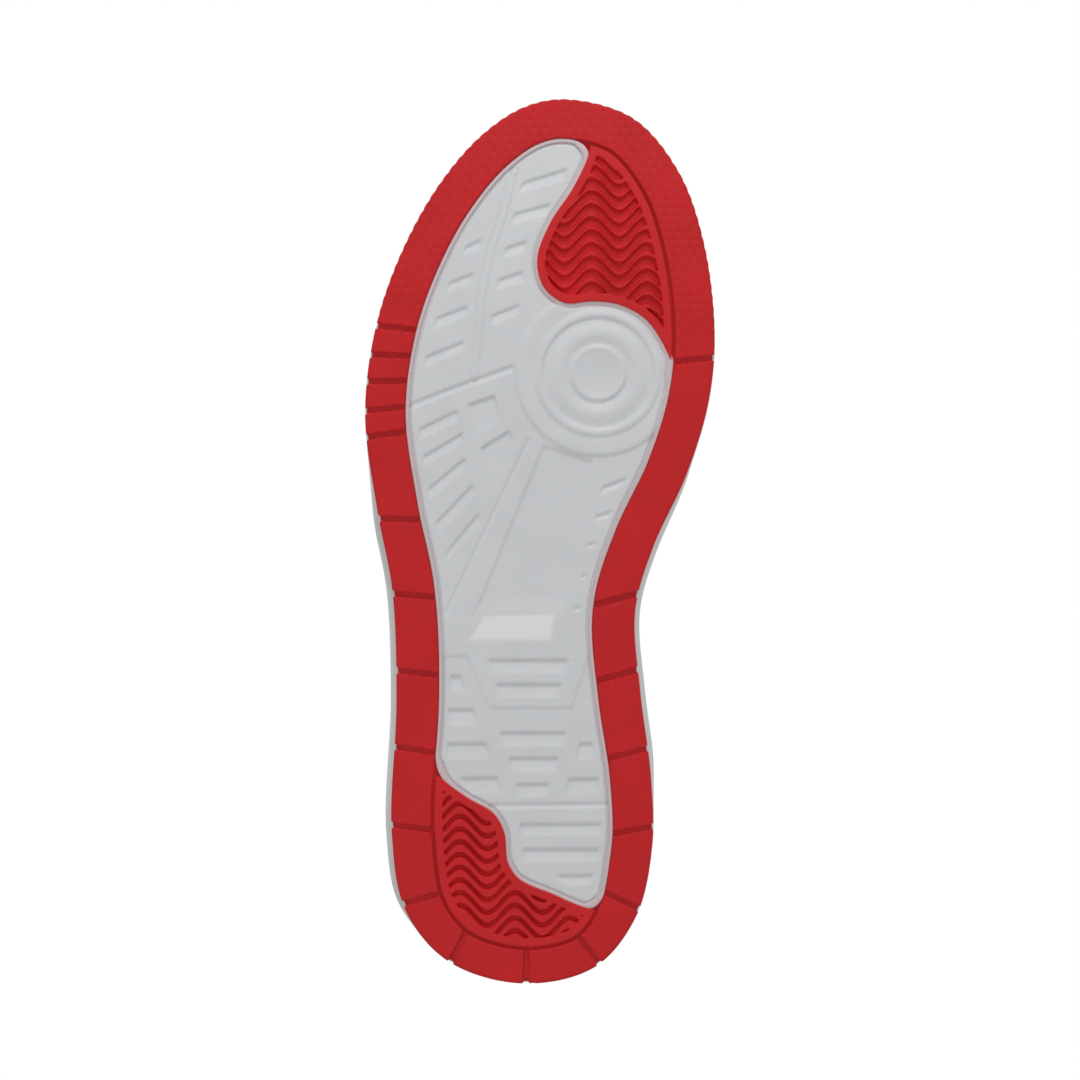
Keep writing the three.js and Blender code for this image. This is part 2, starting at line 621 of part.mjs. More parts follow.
function liningGeometry() {
  const place = (u, v) => {
    const s = lerp(LINING_START, 2 - LINING_START, u);
    return [s, liningTop(s) * v];
  };
  const inward = (s, t, v) => {
    const collar = smoothstep(Math.abs(wrap(s)), 0.62, 0.68);
    return -COLLAR_PAD * collar * smoothstep(v, 0.55, 0.85) * (1 - 0.5 * smoothstep(v, 0.93, 1));
  };
  const outward = (s, t, v) => LINING - 0.8 * smoothstep(v, 0.7, 0.9);
  return shell(LINING_COLUMNS, 7, place, inward, outward);
}

function overlay(columns, rows, place) {
  return shell(columns, rows, place, OVERLAY_AT, OVERLAY_AT + OVERLAY);
}

const EYESTAY_START = 0.405;
const EYESTAY_END = 0.622;
const EYESTAY_SHARE = 0.17;

function eyestayGeometry(side) {
  return overlay(14, 2, (u, v) => {
    const at = side > 0 ? lerp(EYESTAY_START, EYESTAY_END, u) : lerp(EYESTAY_END, EYESTAY_START, u);
    return [side * at, topline(at) - EYESTAY_SHARE * (1 - v) - 0.008];
  });
}

const TOE_CAP = { reach: 0.3, sideHeight: 0.3, crown: 0.26, fullness: 0.8 };
const COUNTER = { reach: 0.22, sideHeight: 0.07, crown: 0.085 };
const HEEL_PATCH = { low: 0.165, high: 0.235, lowHalf: 0.03, highHalf: 0.045 };

function toeCapGeometry() {
  const { reach, sideHeight, crown, fullness } = TOE_CAP;
  return overlay(24, 5, (u, v) => {
    const s = lerp(-reach, reach, u);
    const high = sideHeight + crown * Math.cos((Math.PI * s) / (2 * reach)) ** fullness;
    return [s, high * v];
  });
}

function counterGeometry() {
  const { reach, sideHeight, crown } = COUNTER;
  return overlay(20, 4, (u, v) => {
    const s = lerp(1 - reach, 1 + reach, u);
    const near = 1 - Math.abs(s - 1) / reach;
    return [s, (sideHeight + crown * Math.sqrt(Math.max(near, 0))) * v];
  });
}

function heelPatchGeometry() {
  const { low, high, lowHalf, highHalf } = HEEL_PATCH;
  return overlay(6, 3, (u, v) => {
    const half = lerp(lowHalf, highHalf, v);
    return [lerp(1 - half, 1 + half, u), lerp(low, high, v)];
  });
}

const STRIPE_RUN = 0.2; // along the side, for the whole rise of the stripes
const STRIPE_START = 0.08;
const STRIPE_RISE = 0.24;
const STRIPE_HALF = 0.04;
const STRIPE_LEATHER = 0.9;

function stripeGeometry(side, start, length, shift) {
  const place = (u, v) => {
    const at = side > 0 ? lerp(start, start + length, u) : lerp(start + length, start, u);
    const run = (at - start) / STRIPE_RUN;
    const middle = STRIPE_START + shift + STRIPE_RISE * run ** 1.3;
    return [side * at, middle + STRIPE_HALF * (2 * v - 1) * (0.5 + 0.5 * run)];
  };
  return shell(12, 2, place, OVERLAY_AT, OVERLAY_AT + STRIPE_LEATHER);
}

const ARCH_CROWN = 0.03; // the far edge of a sheet is rounded by this much in its middle

// A sheet across the crest line: columns run from the outer side to the inner side, rows along the spine.
function archShell(columns, rows, from, to, edge, low, high) {
  const place = (c, r) => {
    const across = (2 * c) / columns - 1;
    const at = lerp(from, to, r / rows) + (ARCH_CROWN * (1 - across * across) * r) / rows;
    return [across < 0 ? -at : at, 1 - (1 - edge) * Math.abs(across)];
  };
  const face = (out) =>
    Array.from({ length: rows + 1 }, (_, r) =>
      Array.from({ length: columns + 1 }, (_, c) => upperPoint(...place(c, r), out)),
    );
  const inside = face(low);
  const outside = face(high);
  const triangles = [];
  const quad = (a, b, c, d) => triangles.push(a, b, c, a, c, d);
  for (let r = 0; r < rows; r++) {
    for (let c = 0; c < columns; c++) {
      quad(outside[r][c], outside[r][c + 1], outside[r + 1][c + 1], outside[r + 1][c]);
      quad(inside[r][c], inside[r + 1][c], inside[r + 1][c + 1], inside[r][c + 1]);
    }
    quad(inside[r + 1][0], inside[r][0], outside[r][0], outside[r + 1][0]);
    quad(inside[r][columns], inside[r + 1][columns], outside[r + 1][columns], outside[r][columns]);
  }
  for (let c = 0; c < columns; c++) {
    quad(inside[0][c], inside[0][c + 1], outside[0][c + 1], outside[0][c]);
    quad(outside[rows][c], outside[rows][c + 1], inside[rows][c + 1], inside[rows][c]);
  }
  return geometryOf(triangles);
}

const TONGUE_EDGE = 0.68;
const TONGUE_START = 0.365;
const TONGUE_END = 0.685;
const tongueGeometry = () =>
  archShell(8, 12, TONGUE_START, TONGUE_END, TONGUE_EDGE, -TONGUE_DROP - TONGUE, -TONGUE_DROP);
const tonguePatchGeometry = () => {
  const low = -TONGUE_DROP + LAYER_GAP;
  return archShell(6, 3, 0.655, 0.685, 0.84, low, low + OVERLAY);
};

// ---- Lacing ----
const eyeletPlaces = [];
for (let i = 0; i < EYELETS; i++) {
  const at = lerp(FIRST_EYELET, LAST_EYELET, i / (EYELETS - 1));
  eyeletPlaces.push([at, Math.min(topline(at), 0.87) - 0.06]);
}

function eyeletFrame(side, i) {
  const [at, t] = eyeletPlaces[i];
  const axis = lastNormal(side * at, t);
  const turn = new THREE.Quaternion().setFromUnitVectors(new THREE.Vector3(0, 0, 1), axis);
  return new THREE.Matrix4().compose(lastPoint(side * at, t), turn, new THREE.Vector3(1, 1, 1));
}

const FLANGE_AT = OVERLAY_AT + OVERLAY + GAP;
const FLANGE = 0.8;

function eyeletGeometry(side, i) {
  const top = FLANGE_AT + FLANGE;
  const profile = [
    [EYELET_BORE, LEATHER_AT - 0.4], [EYELET_BARREL, LEATHER_AT - 0.4], [EYELET_BARREL, FLANGE_AT],
    [EYELET_FLANGE, FLANGE_AT], [EYELET_FLANGE - 0.4, top], [EYELET_BORE, top], [EYELET_BORE, LEATHER_AT - 0.4],
  ].map(([r, z]) => new THREE.Vector2(r, z));
  const turned = new THREE.LatheGeometry(profile, EYELET_SIDES).rotateX(Math.PI / 2);
  return turned.applyMatrix4(eyeletFrame(side, i));
}

function pierced(geometry, side) {
  let solid = solidOf(geometry);
  for (let i = 0; i < EYELETS; i++) {
    const radius = EYELET_BARREL + EYELET_CLEARANCE;
    const hole = new THREE.CylinderGeometry(radius, radius, 14, EYELET_SIDES);
    hole.rotateX(Math.PI / 2).translate(0, 0, LEATHER_AT + 2).applyMatrix4(eyeletFrame(side, i));
    solid = solid.subtract(solidOf(hole));
  }
  return geometryFrom(solid);
}

// The lace goes up through an eyelet, across, down through its opposite and under to the next row.
function laceRoute() {
  const UNDER = 1;
  const ABOVE = FLANGE_AT + FLANGE + LACE_RADIUS + 1.1;
  const TURN = EYELET_BORE + 0.5; // over an eyelet the lace turns to the crest within this
  const points = [];
  const eyelet = (side, i, towardsCrest, out) => {
    const [at, t] = eyeletPlaces[i];
    const step = upperPoint(side * at, t, 0).distanceTo(upperPoint(side * at, t + 0.01, 0));
    return upperPoint(side * at, t + (0.01 * towardsCrest) / step, out);
  };
  const inLane = TONGUE_EDGE - 0.055; // beside the tongue
  points.push(upperPoint(-0.6, 0.42, -3.8), upperPoint(-0.598, 0.52, -1.9), upperPoint(-0.59, inLane, UNDER - 0.4));
  for (const at of [0.56, 0.52, 0.48, 0.45]) points.push(upperPoint(-at, inLane, UNDER));
  for (let i = 0; i < EYELETS; i++) {
    points.push(eyelet(-1, i, 0, UNDER), eyelet(-1, i, 0, LEATHER_AT + 1.5), eyelet(-1, i, 0, ABOVE - 1.4));
    points.push(eyelet(-1, i, TURN, ABOVE), eyelet(1, i, TURN, ABOVE));
    points.push(eyelet(1, i, 0, ABOVE - 1.4), eyelet(1, i, 0, LEATHER_AT + 1.5), eyelet(1, i, 0, UNDER));
    if (i === EYELETS - 1) continue;
    const [at] = eyeletPlaces[i];
    const [next] = eyeletPlaces[i + 1];
    for (const share of [0.2, 0.4]) points.push(upperPoint(lerp(at, next, share), lerp(0.78, 1, share * 2), UNDER));
    points.push(upperPoint(lerp(at, next, 0.5), 1, UNDER));
    for (const share of [0.6, 0.8])
      points.push(upperPoint(-lerp(at, next, share), lerp(1, 0.78, share * 2 - 1), UNDER));
  }
  points.push(upperPoint(0.6, inLane, UNDER - 0.4), upperPoint(0.602, 0.52, -1.9), upperPoint(0.604, 0.42, -3.8));
  return points;
}

// A smooth curve whose steps fall on its own points, so that a cord runs through the middle of each hole.
class StopCurve extends THREE.CatmullRomCurve3 {
  constructor(points) {
    super(points, false, "centripetal");
  }

  getPointAt(u, target) {
    return this.getPoint(u, target);
  }

  getTangentAt(u, target) {
    return this.getTangent(u, target);
  }

  getSpacedPoints(steps) {
    return this.getPoints(steps);
  }
}

function tube(points, radius, steps, sides) {
  const section = new THREE.Shape();
  for (let k = 0; k < sides; k++) {
    const angle = (2 * Math.PI * k) / sides;
    const [x, y] = [radius * Math.cos(angle), radius * Math.sin(angle)];
    if (k === 0) section.moveTo(x, y);
    else section.lineTo(x, y);
  }
  return new THREE.ExtrudeGeometry(section, { steps, extrudePath: new StopCurve(points), bevelEnabled: false });
}

const route = laceRoute();

function agletGeometry(end, before) {
  const away = end.clone().sub(before).normalize();
  const start = end.clone().addScaledVector(away, GAP);
  const finish = start.clone().addScaledVector(away, AGLET_LENGTH);
  return tube([start, start.clone().lerp(finish, 0.5), finish], AGLET_RADIUS, 2, 8);
}

// ---- Pull loop ----
const LOOP_AT = 0.25; // height of its ends on the heel, as a share of the way to the crest

function pullLoopGeometry() {
  const outside = upperPoint(1, LOOP_AT, LEATHER_AT + LEATHER + LOOP_WEBBING / 2 + 1.2);
  const inside = upperPoint(1, LOOP_AT, -COLLAR_PAD - LOOP_WEBBING - 0.8);
  const crown = outside.z + LOOP_HEIGHT;
  const middle = (outside.y + inside.y) / 2;
  const path = new THREE.CatmullRomCurve3(
    [
      outside,
      new THREE.Vector3(outside.x, outside.y - 0.4, lerp(outside.z, crown, 0.6)),
      new THREE.Vector3(outside.x, lerp(outside.y, middle, 0.5), crown - 1.5),
      new THREE.Vector3(outside.x, lerp(inside.y, middle, 0.5), crown - 1.5),
      new THREE.Vector3(outside.x, inside.y, lerp(inside.z, crown, 0.6)),
      new THREE.Vector3(outside.x, inside.y, inside.z),
    ],
    false,
    "centripetal",
  );
  const half = [LOOP_WIDTH / 2, LOOP_WEBBING / 2];
  const section = new THREE.Shape([
    new THREE.Vector2(-half[0], -half[1]), new THREE.Vector2(half[0], -half[1]),
    new THREE.Vector2(half[0], half[1]), new THREE.Vector2(-half[0], half[1]),
  ]);
  return new THREE.ExtrudeGeometry(section, { steps: 18, extrudePath: path, bevelEnabled: false });
}

// ---- Inside ----
const boardGeometry = () => slab(BASE_INSET + BOARD_CLEARANCE, GAP, GAP + BOARD, floorZ);

function insoleGeometry() {
  const low = GAP + BOARD + GAP;
  return slab(BASE_INSET + INSOLE_CLEARANCE, low, low + INSOLE, floorZ);
}

// ---- Assembly ----
const red = new THREE.MeshStandardMaterial({ color: 0xb8333a, roughness: 0.6, metalness: 0 });
const white = new THREE.MeshStandardMaterial({ color: 0xd8d9dc, roughness: 0.6, metalness: 0 });
const leather = new THREE.MeshStandardMaterial({ color: 0xeeeeec, roughness: 0.5, metalness: 0 });
const textile = new THREE.MeshStandardMaterial({ color: 0xc9cacc, roughness: 0.9, metalness: 0 });
const metal = new THREE.MeshStandardMaterial({ color: 0xb9bbbf, roughness: 0.3, metalness: 1 });

const shoe = new THREE.Group();

function add(name, geometry, material) {
  const mesh = new THREE.Mesh(geometry, material);
  mesh.name = name;
  shoe.add(mesh);
}

const toeWaves = {
  crestX: 17.6 * acrossX, fromY: -140 * alongY, toY: -58 * alongY, before: 6, after: 8, width: TOE_RECESS,
};
const heelWaves = {
  crestX: -8.4 * acrossX, fromY: 70 * alongY, toY: 145 * alongY, before: 8, after: 8, width: HEEL_RECESS,
};

add("outsole_rim", rimSolid(), red);
add("toe_tread_pad", padSolid(toeRegion, toeWaves), red);
add("heel_tread_pad", padSolid(heelRegion, heelWaves), red);
add("sole_plate", plateSolid(), white);
add("midsole", midsoleGeometry(), white);
add("strobel_board", boardGeometry(), textile);
add("insole", insoleGeometry(), red);
add("collar_lining", liningGeometry(), red);
add("toe_cap", toeCapGeometry(), leather);
add("heel_counter", counterGeometry(), red);
add("heel_patch", heelPatchGeometry(), leather);
add("heel_pull_loop", pullLoopGeometry(), red);
add("tongue", tongueGeometry(), leather);
add("tongue_patch", tonguePatchGeometry(), red);

let vamp = vampGeometry();
for (const side of [-1, 1]) {
  const where = side < 0 ? "lateral" : "medial";
  vamp = pierced(vamp, side);
  add(`quarter_${where}`, pierced(quarterGeometry(side), side), leather);
  add(`eyestay_${where}`, pierced(eyestayGeometry(side), side), red);
  add(`side_stripe_front_${where}`, stripeGeometry(side, 0.46, STRIPE_RUN, 0), red);
  add(`side_stripe_rear_${where}`, stripeGeometry(side, 0.52, 0.8 * STRIPE_RUN, -0.02), red);
  for (let i = 0; i < EYELETS; i++) add(`eyelet_${where}_${i + 1}`, eyeletGeometry(side, i), metal);
}
add("vamp", vamp, leather);
add("lace", tube(route, LACE_RADIUS, 2 * (route.length - 1), 5), textile);
add("aglet_lateral", agletGeometry(route[0], route[1]), white);
add("aglet_medial", agletGeometry(route[route.length - 1], route[route.length - 2]), white);

// The origin is under the middle of the whole shoe.
const box = new THREE.Box3().setFromObject(shoe);
const middle = box.getCenter(new THREE.Vector3());
shoe.position.set(-middle.x, -middle.y, 0);

export default shoe;
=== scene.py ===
import math

import bmesh
import bpy
import numpy as np
from bpy.props import FloatProperty, PointerProperty, StringProperty
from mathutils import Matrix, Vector
from mathutils.bvhtree import BVHTree
from mathutils.geometry import delaunay_2d_cdt
from mathutils.kdtree import KDTree


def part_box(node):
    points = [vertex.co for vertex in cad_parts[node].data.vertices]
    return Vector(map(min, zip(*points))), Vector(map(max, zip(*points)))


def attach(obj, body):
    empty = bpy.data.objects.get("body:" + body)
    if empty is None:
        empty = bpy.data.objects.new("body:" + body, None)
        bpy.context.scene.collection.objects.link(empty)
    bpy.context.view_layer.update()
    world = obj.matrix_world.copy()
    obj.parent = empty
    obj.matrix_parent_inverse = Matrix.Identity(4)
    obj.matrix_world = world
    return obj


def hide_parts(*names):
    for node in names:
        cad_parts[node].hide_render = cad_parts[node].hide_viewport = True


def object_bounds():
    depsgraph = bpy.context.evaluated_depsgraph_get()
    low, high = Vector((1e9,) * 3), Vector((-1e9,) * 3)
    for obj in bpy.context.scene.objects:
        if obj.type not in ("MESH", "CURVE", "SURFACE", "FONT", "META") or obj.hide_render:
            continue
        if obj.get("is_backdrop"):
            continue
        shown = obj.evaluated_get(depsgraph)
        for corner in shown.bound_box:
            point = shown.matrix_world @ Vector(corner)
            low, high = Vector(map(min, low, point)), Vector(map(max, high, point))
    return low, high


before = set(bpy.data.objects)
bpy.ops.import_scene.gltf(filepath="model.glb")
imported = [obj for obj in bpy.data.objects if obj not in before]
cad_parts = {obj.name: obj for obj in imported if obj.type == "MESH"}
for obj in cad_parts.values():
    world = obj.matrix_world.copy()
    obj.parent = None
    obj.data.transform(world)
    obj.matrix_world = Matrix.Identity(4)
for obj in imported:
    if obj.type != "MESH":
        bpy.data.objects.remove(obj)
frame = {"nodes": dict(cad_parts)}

bl_info = {
    "name": "Bowling Shoe",
    "version": (1, 0, 0),
    "blender": (4, 5, 0),
    "location": "View3D > Sidebar > Shoe",
    "description": "Builds a laced bowling shoe with a moulded red and white sole",
    "category": "Add Mesh",
}

MM = 0.001
SIDES = ((-1, "lateral"), (1, "medial"))

# ---- Sizes of the shoe, in millimetres: x to the inner side, y to the heel, z up from the ground ----
OUTLINE = [
    (9.6, -150), (31.7, -143.5), (47.1, -125.2), (55.6, -100.9), (59.2, -70), (57, -46.2), (49.5, -21.8),
    (38.3, 2.6), (32.3, 24), (34, 51.2), (37.6, 80), (38, 104), (32.5, 127.5), (18.5, 144.5), (-5.9, 150),
    (-31, 142.5), (-45.4, 125.3), (-50.1, 99), (-48.5, 54.3), (-49.9, 17.1), (-54.9, -9.6), (-59.1, -42),
    (-55.9, -70.5), (-48.1, -94.8), (-35.3, -119.1), (-20.1, -137.4), (-5, -147.5),
]
TOE_PAD_EDGE = [
    (47, -55), (40.5, -68.5), (35.5, -75), (27, -79.6), (18, -80.8), (8.5, -80.2), (1.4, -85.5),
    (-0.9, -95), (3.6, -107.6), (11.2, -119.2), (16.6, -131), (18, -140),
]
HEEL_PAD_EDGE = [
    (-42, 72), (-33.5, 80.5), (-24.4, 87.2), (-15.6, 92.5), (-12, 99), (-10.8, 109), (-7, 114.6),
    (4.1, 119.6), (15.4, 124.3), (30, 127),
]
RUBBER = 5
RIM_WIDTH = 13.4
RIM_WALL = 2.2
RIM_LIP = 1.2
RIM_STATIONS = 1560
EDGE_ROUND = 1.0
WINDOW_EDGE = 0.25
SHELF = 1.3
SHELF_HEIGHT = 2.9
BUMPER = 12
BUMPER_RISE = (66, 104)
SLOT_WIDTH = 1.7
SLOT_DEPTH = 2.2
NOTCH_CUT = 1.2
TOE_TEXTURE_END = (-63, -74)  # on the inner and on the outer side
DIMPLE_PITCH = (3.9, 2.75)
DIMPLE_RADIUS = 0.85
TOOTH = (3.9, 2.6)  # along the toe's side, and the height of a row
PAD_GROOVE = 1.1
PAD_BORDER = 2.9
PAD_STEP = 0.36
PAD_ROUND = 0.5
# Slots across the rim: [y at the rim's edge, y at its window].
OUTER_SLOTS = [
    (-72.5, -70.9), (-62.6, -62.1), (-53.5, -53.7), (-43.6, -44.9), (-34.6, -36.6), (-7.2, -6.7),
    (18.2, 19.5), (44.1, 45.8), (70, 72.1), (96.4, 98.1), (123.1, 119.7),
]
INNER_SLOTS = [(-61.6, -60.2), (18.3, 22.1), (43.9, 47.8), (70.5, 74), (96.9, 99.4), (124.9, 119.2)]
HEEL_SLOTS = [(-0.925, -0.921), (1, 1), (0.926, 0.928)]
WAVE_LENGTH = 18.6
WAVE_HEIGHT = 3.35

# The plate's face: heights above the ground, and depths below it.
PLATE_RECESS = 1.2
PLATE_STEP = 0.55
PLATE_ROUND = 0.55
PANEL_DEPTH = 0.75
PATCH_DEPTH = 0.14
STRUT_DEPTH = 0.45
TRAY_RISE = 0.42
RIB_DEPTH = 0.34
RIB_RISE = 0.15
CROSS_DEPTH = 0.8
HEEL_DEPTH = 0.6
POCKET_DEPTH = 1.15
LIP_LEVEL = 0.78
LIP_WIDTH = 1.35
LIP_TRENCH = 0.75
# The pockets' four corners, the edge at the toe side first.
POCKETS = [
    ((-6, -121.5), (10, -126.5), (8.5, -122), (-7.5, -117.5)),
    ((-9, -110.8), (4.4, -114.5), (2.5, -110), (-10.5, -106.5)),
    ((-11.8, -99.2), (-3.8, -101.8), (-4.6, -97.6), (-13, -95.3)),
    ((-14.4, -88.4), (-5.6, -91.2), (-5, -87.5), (-15.2, -84.5)),
    ((-16.5, -76.3), (-6, -80.2), (-7.5, -76.3), (-16.9, -72)),
    ((-25.3, -99.6), (-19.4, -102.4), (-19.8, -98.7), (-26.4, -96.2)),
    ((-30.7, -87.5), (-22, -90.8), (-22.4, -87.1), (-32, -83.7)),
    ((-35, -75.5), (-24, -79.6), (-24.5, -75.9), (-36.3, -71.2)),
    ((-38.5, -62.4), (-25.3, -67.6), (-25.5, -64.4), (-39.5, -58.2)),
    ((-41, -37.8), (-27.8, -44.3), (-27, -40.6), (-41, -33.6)),
    ((-39.8, -28.4), (-26, -36.6), (-25.5, -33.1), (-39.4, -24.7)),
    ((-38, -17.5), (-25, -28.2), (-24.1, -24.7), (-37.6, -13.3)),
    ((-35.5, -5.9), (-22.6, -19.2), (-21.6, -15.8), (-34.3, -1.4)),
    ((-31.5, 3.6), (-20.6, -9.6), (-19.6, -6.4), (-33, 8.5)),
    ((-24.5, -46), (-15.1, -49.2), (-12.9, -40.6), (-21.8, -35.1)),
    ((-20.3, -31.1), (-10.7, -37.1), (-7.7, -33.6), (-17.1, -13.8)),
    ((-18, 40.2), (10, 40.2), (8.7, 45), (-16.7, 45)),
    ((-15.2, 48.4), (7.6, 48.4), (6.6, 53.4), (-13.9, 53.4)),
    ((-30.4, 45.6), (-26.4, 45.6), (-24.9, 51.2), (-30.8, 51.2)),
    ((-31.2, 57), (-22.1, 57), (-20.8, 62.9), (-31.4, 62.9)),
    ((-31.4, 68.5), (-18, 68.5), (-16.3, 74.3), (-32, 74.3)),
    ((-27.5, 80.3), (-14.1, 80.1), (-12.6, 85.9), (-23, 86)),
    ((-13.7, 64.8), (9.2, 64.8), (8.3, 69.8), (-12.8, 69.8)),
    ((-10.7, 73.4), (6.6, 73.4), (6.1, 78.4), (-9.8, 78.4)),
    ((-8.5, 82.4), (3.8, 82.2), (2.3, 86.7), (-7, 87)),
    ((13, 68.5), (18, 68.5), (18.7, 74.3), (12, 74.3)),
    ((9.6, 80.5), (20.2, 80.3), (20.4, 85.9), (8.3, 86.1)),
    ((-7, 95.8), (21, 95.6), (21, 99.9), (-7, 100.1)),
    ((-6, 104.2), (20.4, 104.2), (20, 108.7), (-5.6, 108.9)),
    ((4.8, 113.3), (18.6, 113), (17.4, 116.6), (9.2, 116.9)),
    ((20.9, -18.1), (30, -21.5), (29, -18.6), (20.2, -15)),
    ((18.6, -8.3), (25, -10.3), (24, -7.8), (18.3, -6.2)),
    ((16.4, 0.9), (19.2, 0.6), (18.8, 2.7), (16.1, 3)),
    ((13.9, 11.8), (16.3, 11.4), (15.9, 13), (13.7, 13.4)),
    ((11.5, 22.6), (14.2, 22.1), (13.9, 23.9), (11.4, 24.4)),
]
# The pivot disc's middle, and its section: radius and height above the ground.
PIVOT = (19.7, -56.4)
PIVOT_RADIUS = 28.6
PIVOT_SECTION = [
    (0, 1.05), (3, 0.98), (6.5, 0.62), (8.5, 0.22), (9, 0.24), (9.9, 0.95), (11, 0.78), (12.9, 0.22),
    (14.7, 0.22), (17.5, 0.95), (18.5, 0.98), (19.3, 0.24), (20.9, 0.22), (21.8, 0.72), (24, 0.55),
    (27.3, 0.5), (PIVOT_RADIUS, 1.2), (40, 1.2),
]
SPINE_RIB = [(-8.8, -125), (-11.8, -111.6), (-15.9, -99.6), (-19.5, -83), (-20.7, -69.9), (-22.2, -55)]
PANEL = [(1.2, -32.4), (18.2, -26.8), (6.4, 33.1)]
PANEL_FOOT = [(3.9, 25), (-19.4, 25.4)]
CROSS_GROOVE = [(-44.5, -45), (-33.5, -49.4), (-23, -53.3), (-9.6, -58.1)]
STRUT = [((-3.9, -33.6), (-31.8, 24.8)), ((0.8, -32.1), (-24.1, 29))]
BLANK_PATCH = [(-19.4, 25.3), (5.4, 24.8), (3.9, 33.9), (-24.1, 33.9)]
TRAY = [(-32.6, 39.2), (-24.8, 39.2), (-16.8, 56.7), (10.8, 56.7), (17, 37)]
# Corners that are rounded: place and radius.
PLATE_CORNERS = [(17.5, -137, 6), (26, 127.5, 4.5), (-34, 79.5, 7), (44.8, -62.4, 2)]
HEEL_GROOVE = [(-16.7, 90), (22.9, 89.5)]

HALF_LENGTH = 150
TOE_SPRING = 11
SPRING_START = -40
CUP_WALL = 4
CUP_FLOOR = 11
CUP_TOP = 20.5
CUP_TURNS = 300
HEEL_LIFT = 5
HEEL_RAMP = (-40, 90)
FOAM_REST = 0.4
FOAM_BULGE = 2
INNER_BULGE = 1.5
BULGE_START = (-35, 0)
BULGE_END = (116, 140)
INNER_BULGE_END = (68, 96)
GAP = 0.3

LINING = 2.2
LEATHER = 1.6
OVERLAY = 1.2
LAYER_GAP = 0.5
TUCK = 0.45  # how far an overlay sinks towards the leather under it
FLAP = 5.5
SKIVED = 1.15
STITCH_LIFT = 0.05
UPPER_LIFT = 1.1
BOARD = 1.6
INSOLE = 4
INSOLE_CLEARANCE = 1.6
TONGUE = 6
TONGUE_DROP = 1.7
COLLAR_PAD = 5
BASE_INSET = CUP_WALL + OVERLAY + LEATHER + LINING + 3 * LAYER_GAP + 0.5
LEATHER_AT = LINING + LAYER_GAP
OVERLAY_AT = LEATHER_AT + LEATHER + LAYER_GAP
ROUNDNESS = 0.8
TOE_CROWN = 1.9
SIDE_LENGTH = 345
# Where the panels lie, from 0 at the toe to 1 at the heel along a side.
SEAM = (0.43, 0.5)
EYESTAY_SPAN = (0.405, 0.622)
EYESTAY_DROP = 0.17
CAP_HALF = 0.3
COUNTER_HALF = 0.22
STRIPE_RUN = 0.2
STRIPES = [("front", 0.46, STRIPE_RUN, 0), ("rear", 0.52, 0.8 * STRIPE_RUN, -0.02)]
LINING_START = 0.51
COLLAR_START = 0.635
TONGUE_SPAN = (0.365, 0.685)
LABEL_SPAN = (0.655, 0.685)
EYELETS = 6
EYELET_SPAN = (0.432, 0.6)
EYELET_BORE = 2.4
FLANGE_AT = OVERLAY_AT + OVERLAY + GAP
LACE_RADIUS = 1.3
LACE_STEPS = 900
AGLET_LENGTH = 20
AGLET_RADIUS = 1.65
HOLE_GRID = (8.5, -121.5)
HOLE_PITCH = (4.4, 3.9)
HOLE_ROWS = 7
HOLE_SINK = 0.1
HOLE_DEPTH = 0.3
STITCH_HALF = 1.15
STITCH_RADIUS = 0.38
LOOP_WIDTH = 14
LOOP_WEBBING = 1.6
LOOP_HEIGHT = 22

# Crest line of the foot's space from the toe to the heel.
SPINE = [
    (9, -113, 45), (8, -104, 49), (5, -86, 55), (2, -57, 66), (-2, -16, 86), (-5, 28, 108), (-6, 66, 128),
    (-6, 94, 142), (-6, 106, 150),
]
# Edge of the throat and the collar: place along the side, and height as a share of the way to the crest.
TOPLINE = [
    (0.4, 1), (0.42, 0.9), (0.45, 0.84), (0.5, 0.81), (0.56, 0.8), (0.6, 0.79), (0.625, 0.73), (0.65, 0.59),
    (0.68, 0.42), (0.72, 0.31), (0.77, 0.25), (0.83, 0.228), (0.9, 0.232), (0.95, 0.25), (1, 0.27),
]


# ---- Curves ----
def smoothstep(x, low, high):
    u = np.clip((np.asarray(x, float) - low) / (high - low), 0, 1)
    return u * u * (3 - 2 * u)


def lerp(a, b, share):
    return a + (b - a) * share


def spline(points, u, closed=False, power=0.25):
    """Catmull-Rom curve through the points, read at u from 0 to 1: power 0.25 is centripetal, 0 uniform."""
    p = np.asarray(points, float)
    count = len(p)
    at = np.asarray(u, float) * (count if closed else count - 1)
    i = np.floor(at).astype(int)
    if not closed:
        i = np.minimum(i, count - 2)
    w = (at - i)[..., None]

    def pick(k):
        if closed:
            return p[k % count]
        inside = p[np.clip(k, 0, count - 1)]
        inside = np.where((k < 0)[..., None], 2 * p[0] - p[1], inside)
        return np.where((k > count - 1)[..., None], 2 * p[-1] - p[-2], inside)

    p0, p1, p2, p3 = (pick(i + k) for k in (-1, 0, 1, 2))
    d0, d1, d2 = (
        np.maximum(np.linalg.norm(b - a, axis=-1, keepdims=True), 1e-6) ** (2 * power)
        for a, b in ((p0, p1), (p1, p2), (p2, p3))
    )
    t1 = ((p1 - p0) / d0 - (p2 - p0) / (d0 + d1) + (p2 - p1) / d1) * d1
    t2 = ((p2 - p1) / d1 - (p3 - p1) / (d1 + d2) + (p3 - p2) / d2) * d1
    return p1 + w * (t1 + w * (3 * (p2 - p1) - 2 * t1 - t2 + w * (2 * (p1 - p2) + t1 + t2)))


def spaced(points, count, closed=False, samples=200):
    """Points an equal length apart along the curve."""
    u = np.linspace(0, 1, samples + 1)
    run = np.concatenate([[0], np.cumsum(np.linalg.norm(np.diff(spline(points, u, closed), axis=0), axis=1))])
    return spline(points, np.interp(np.linspace(0, run[-1], count + 1), run, u), closed)


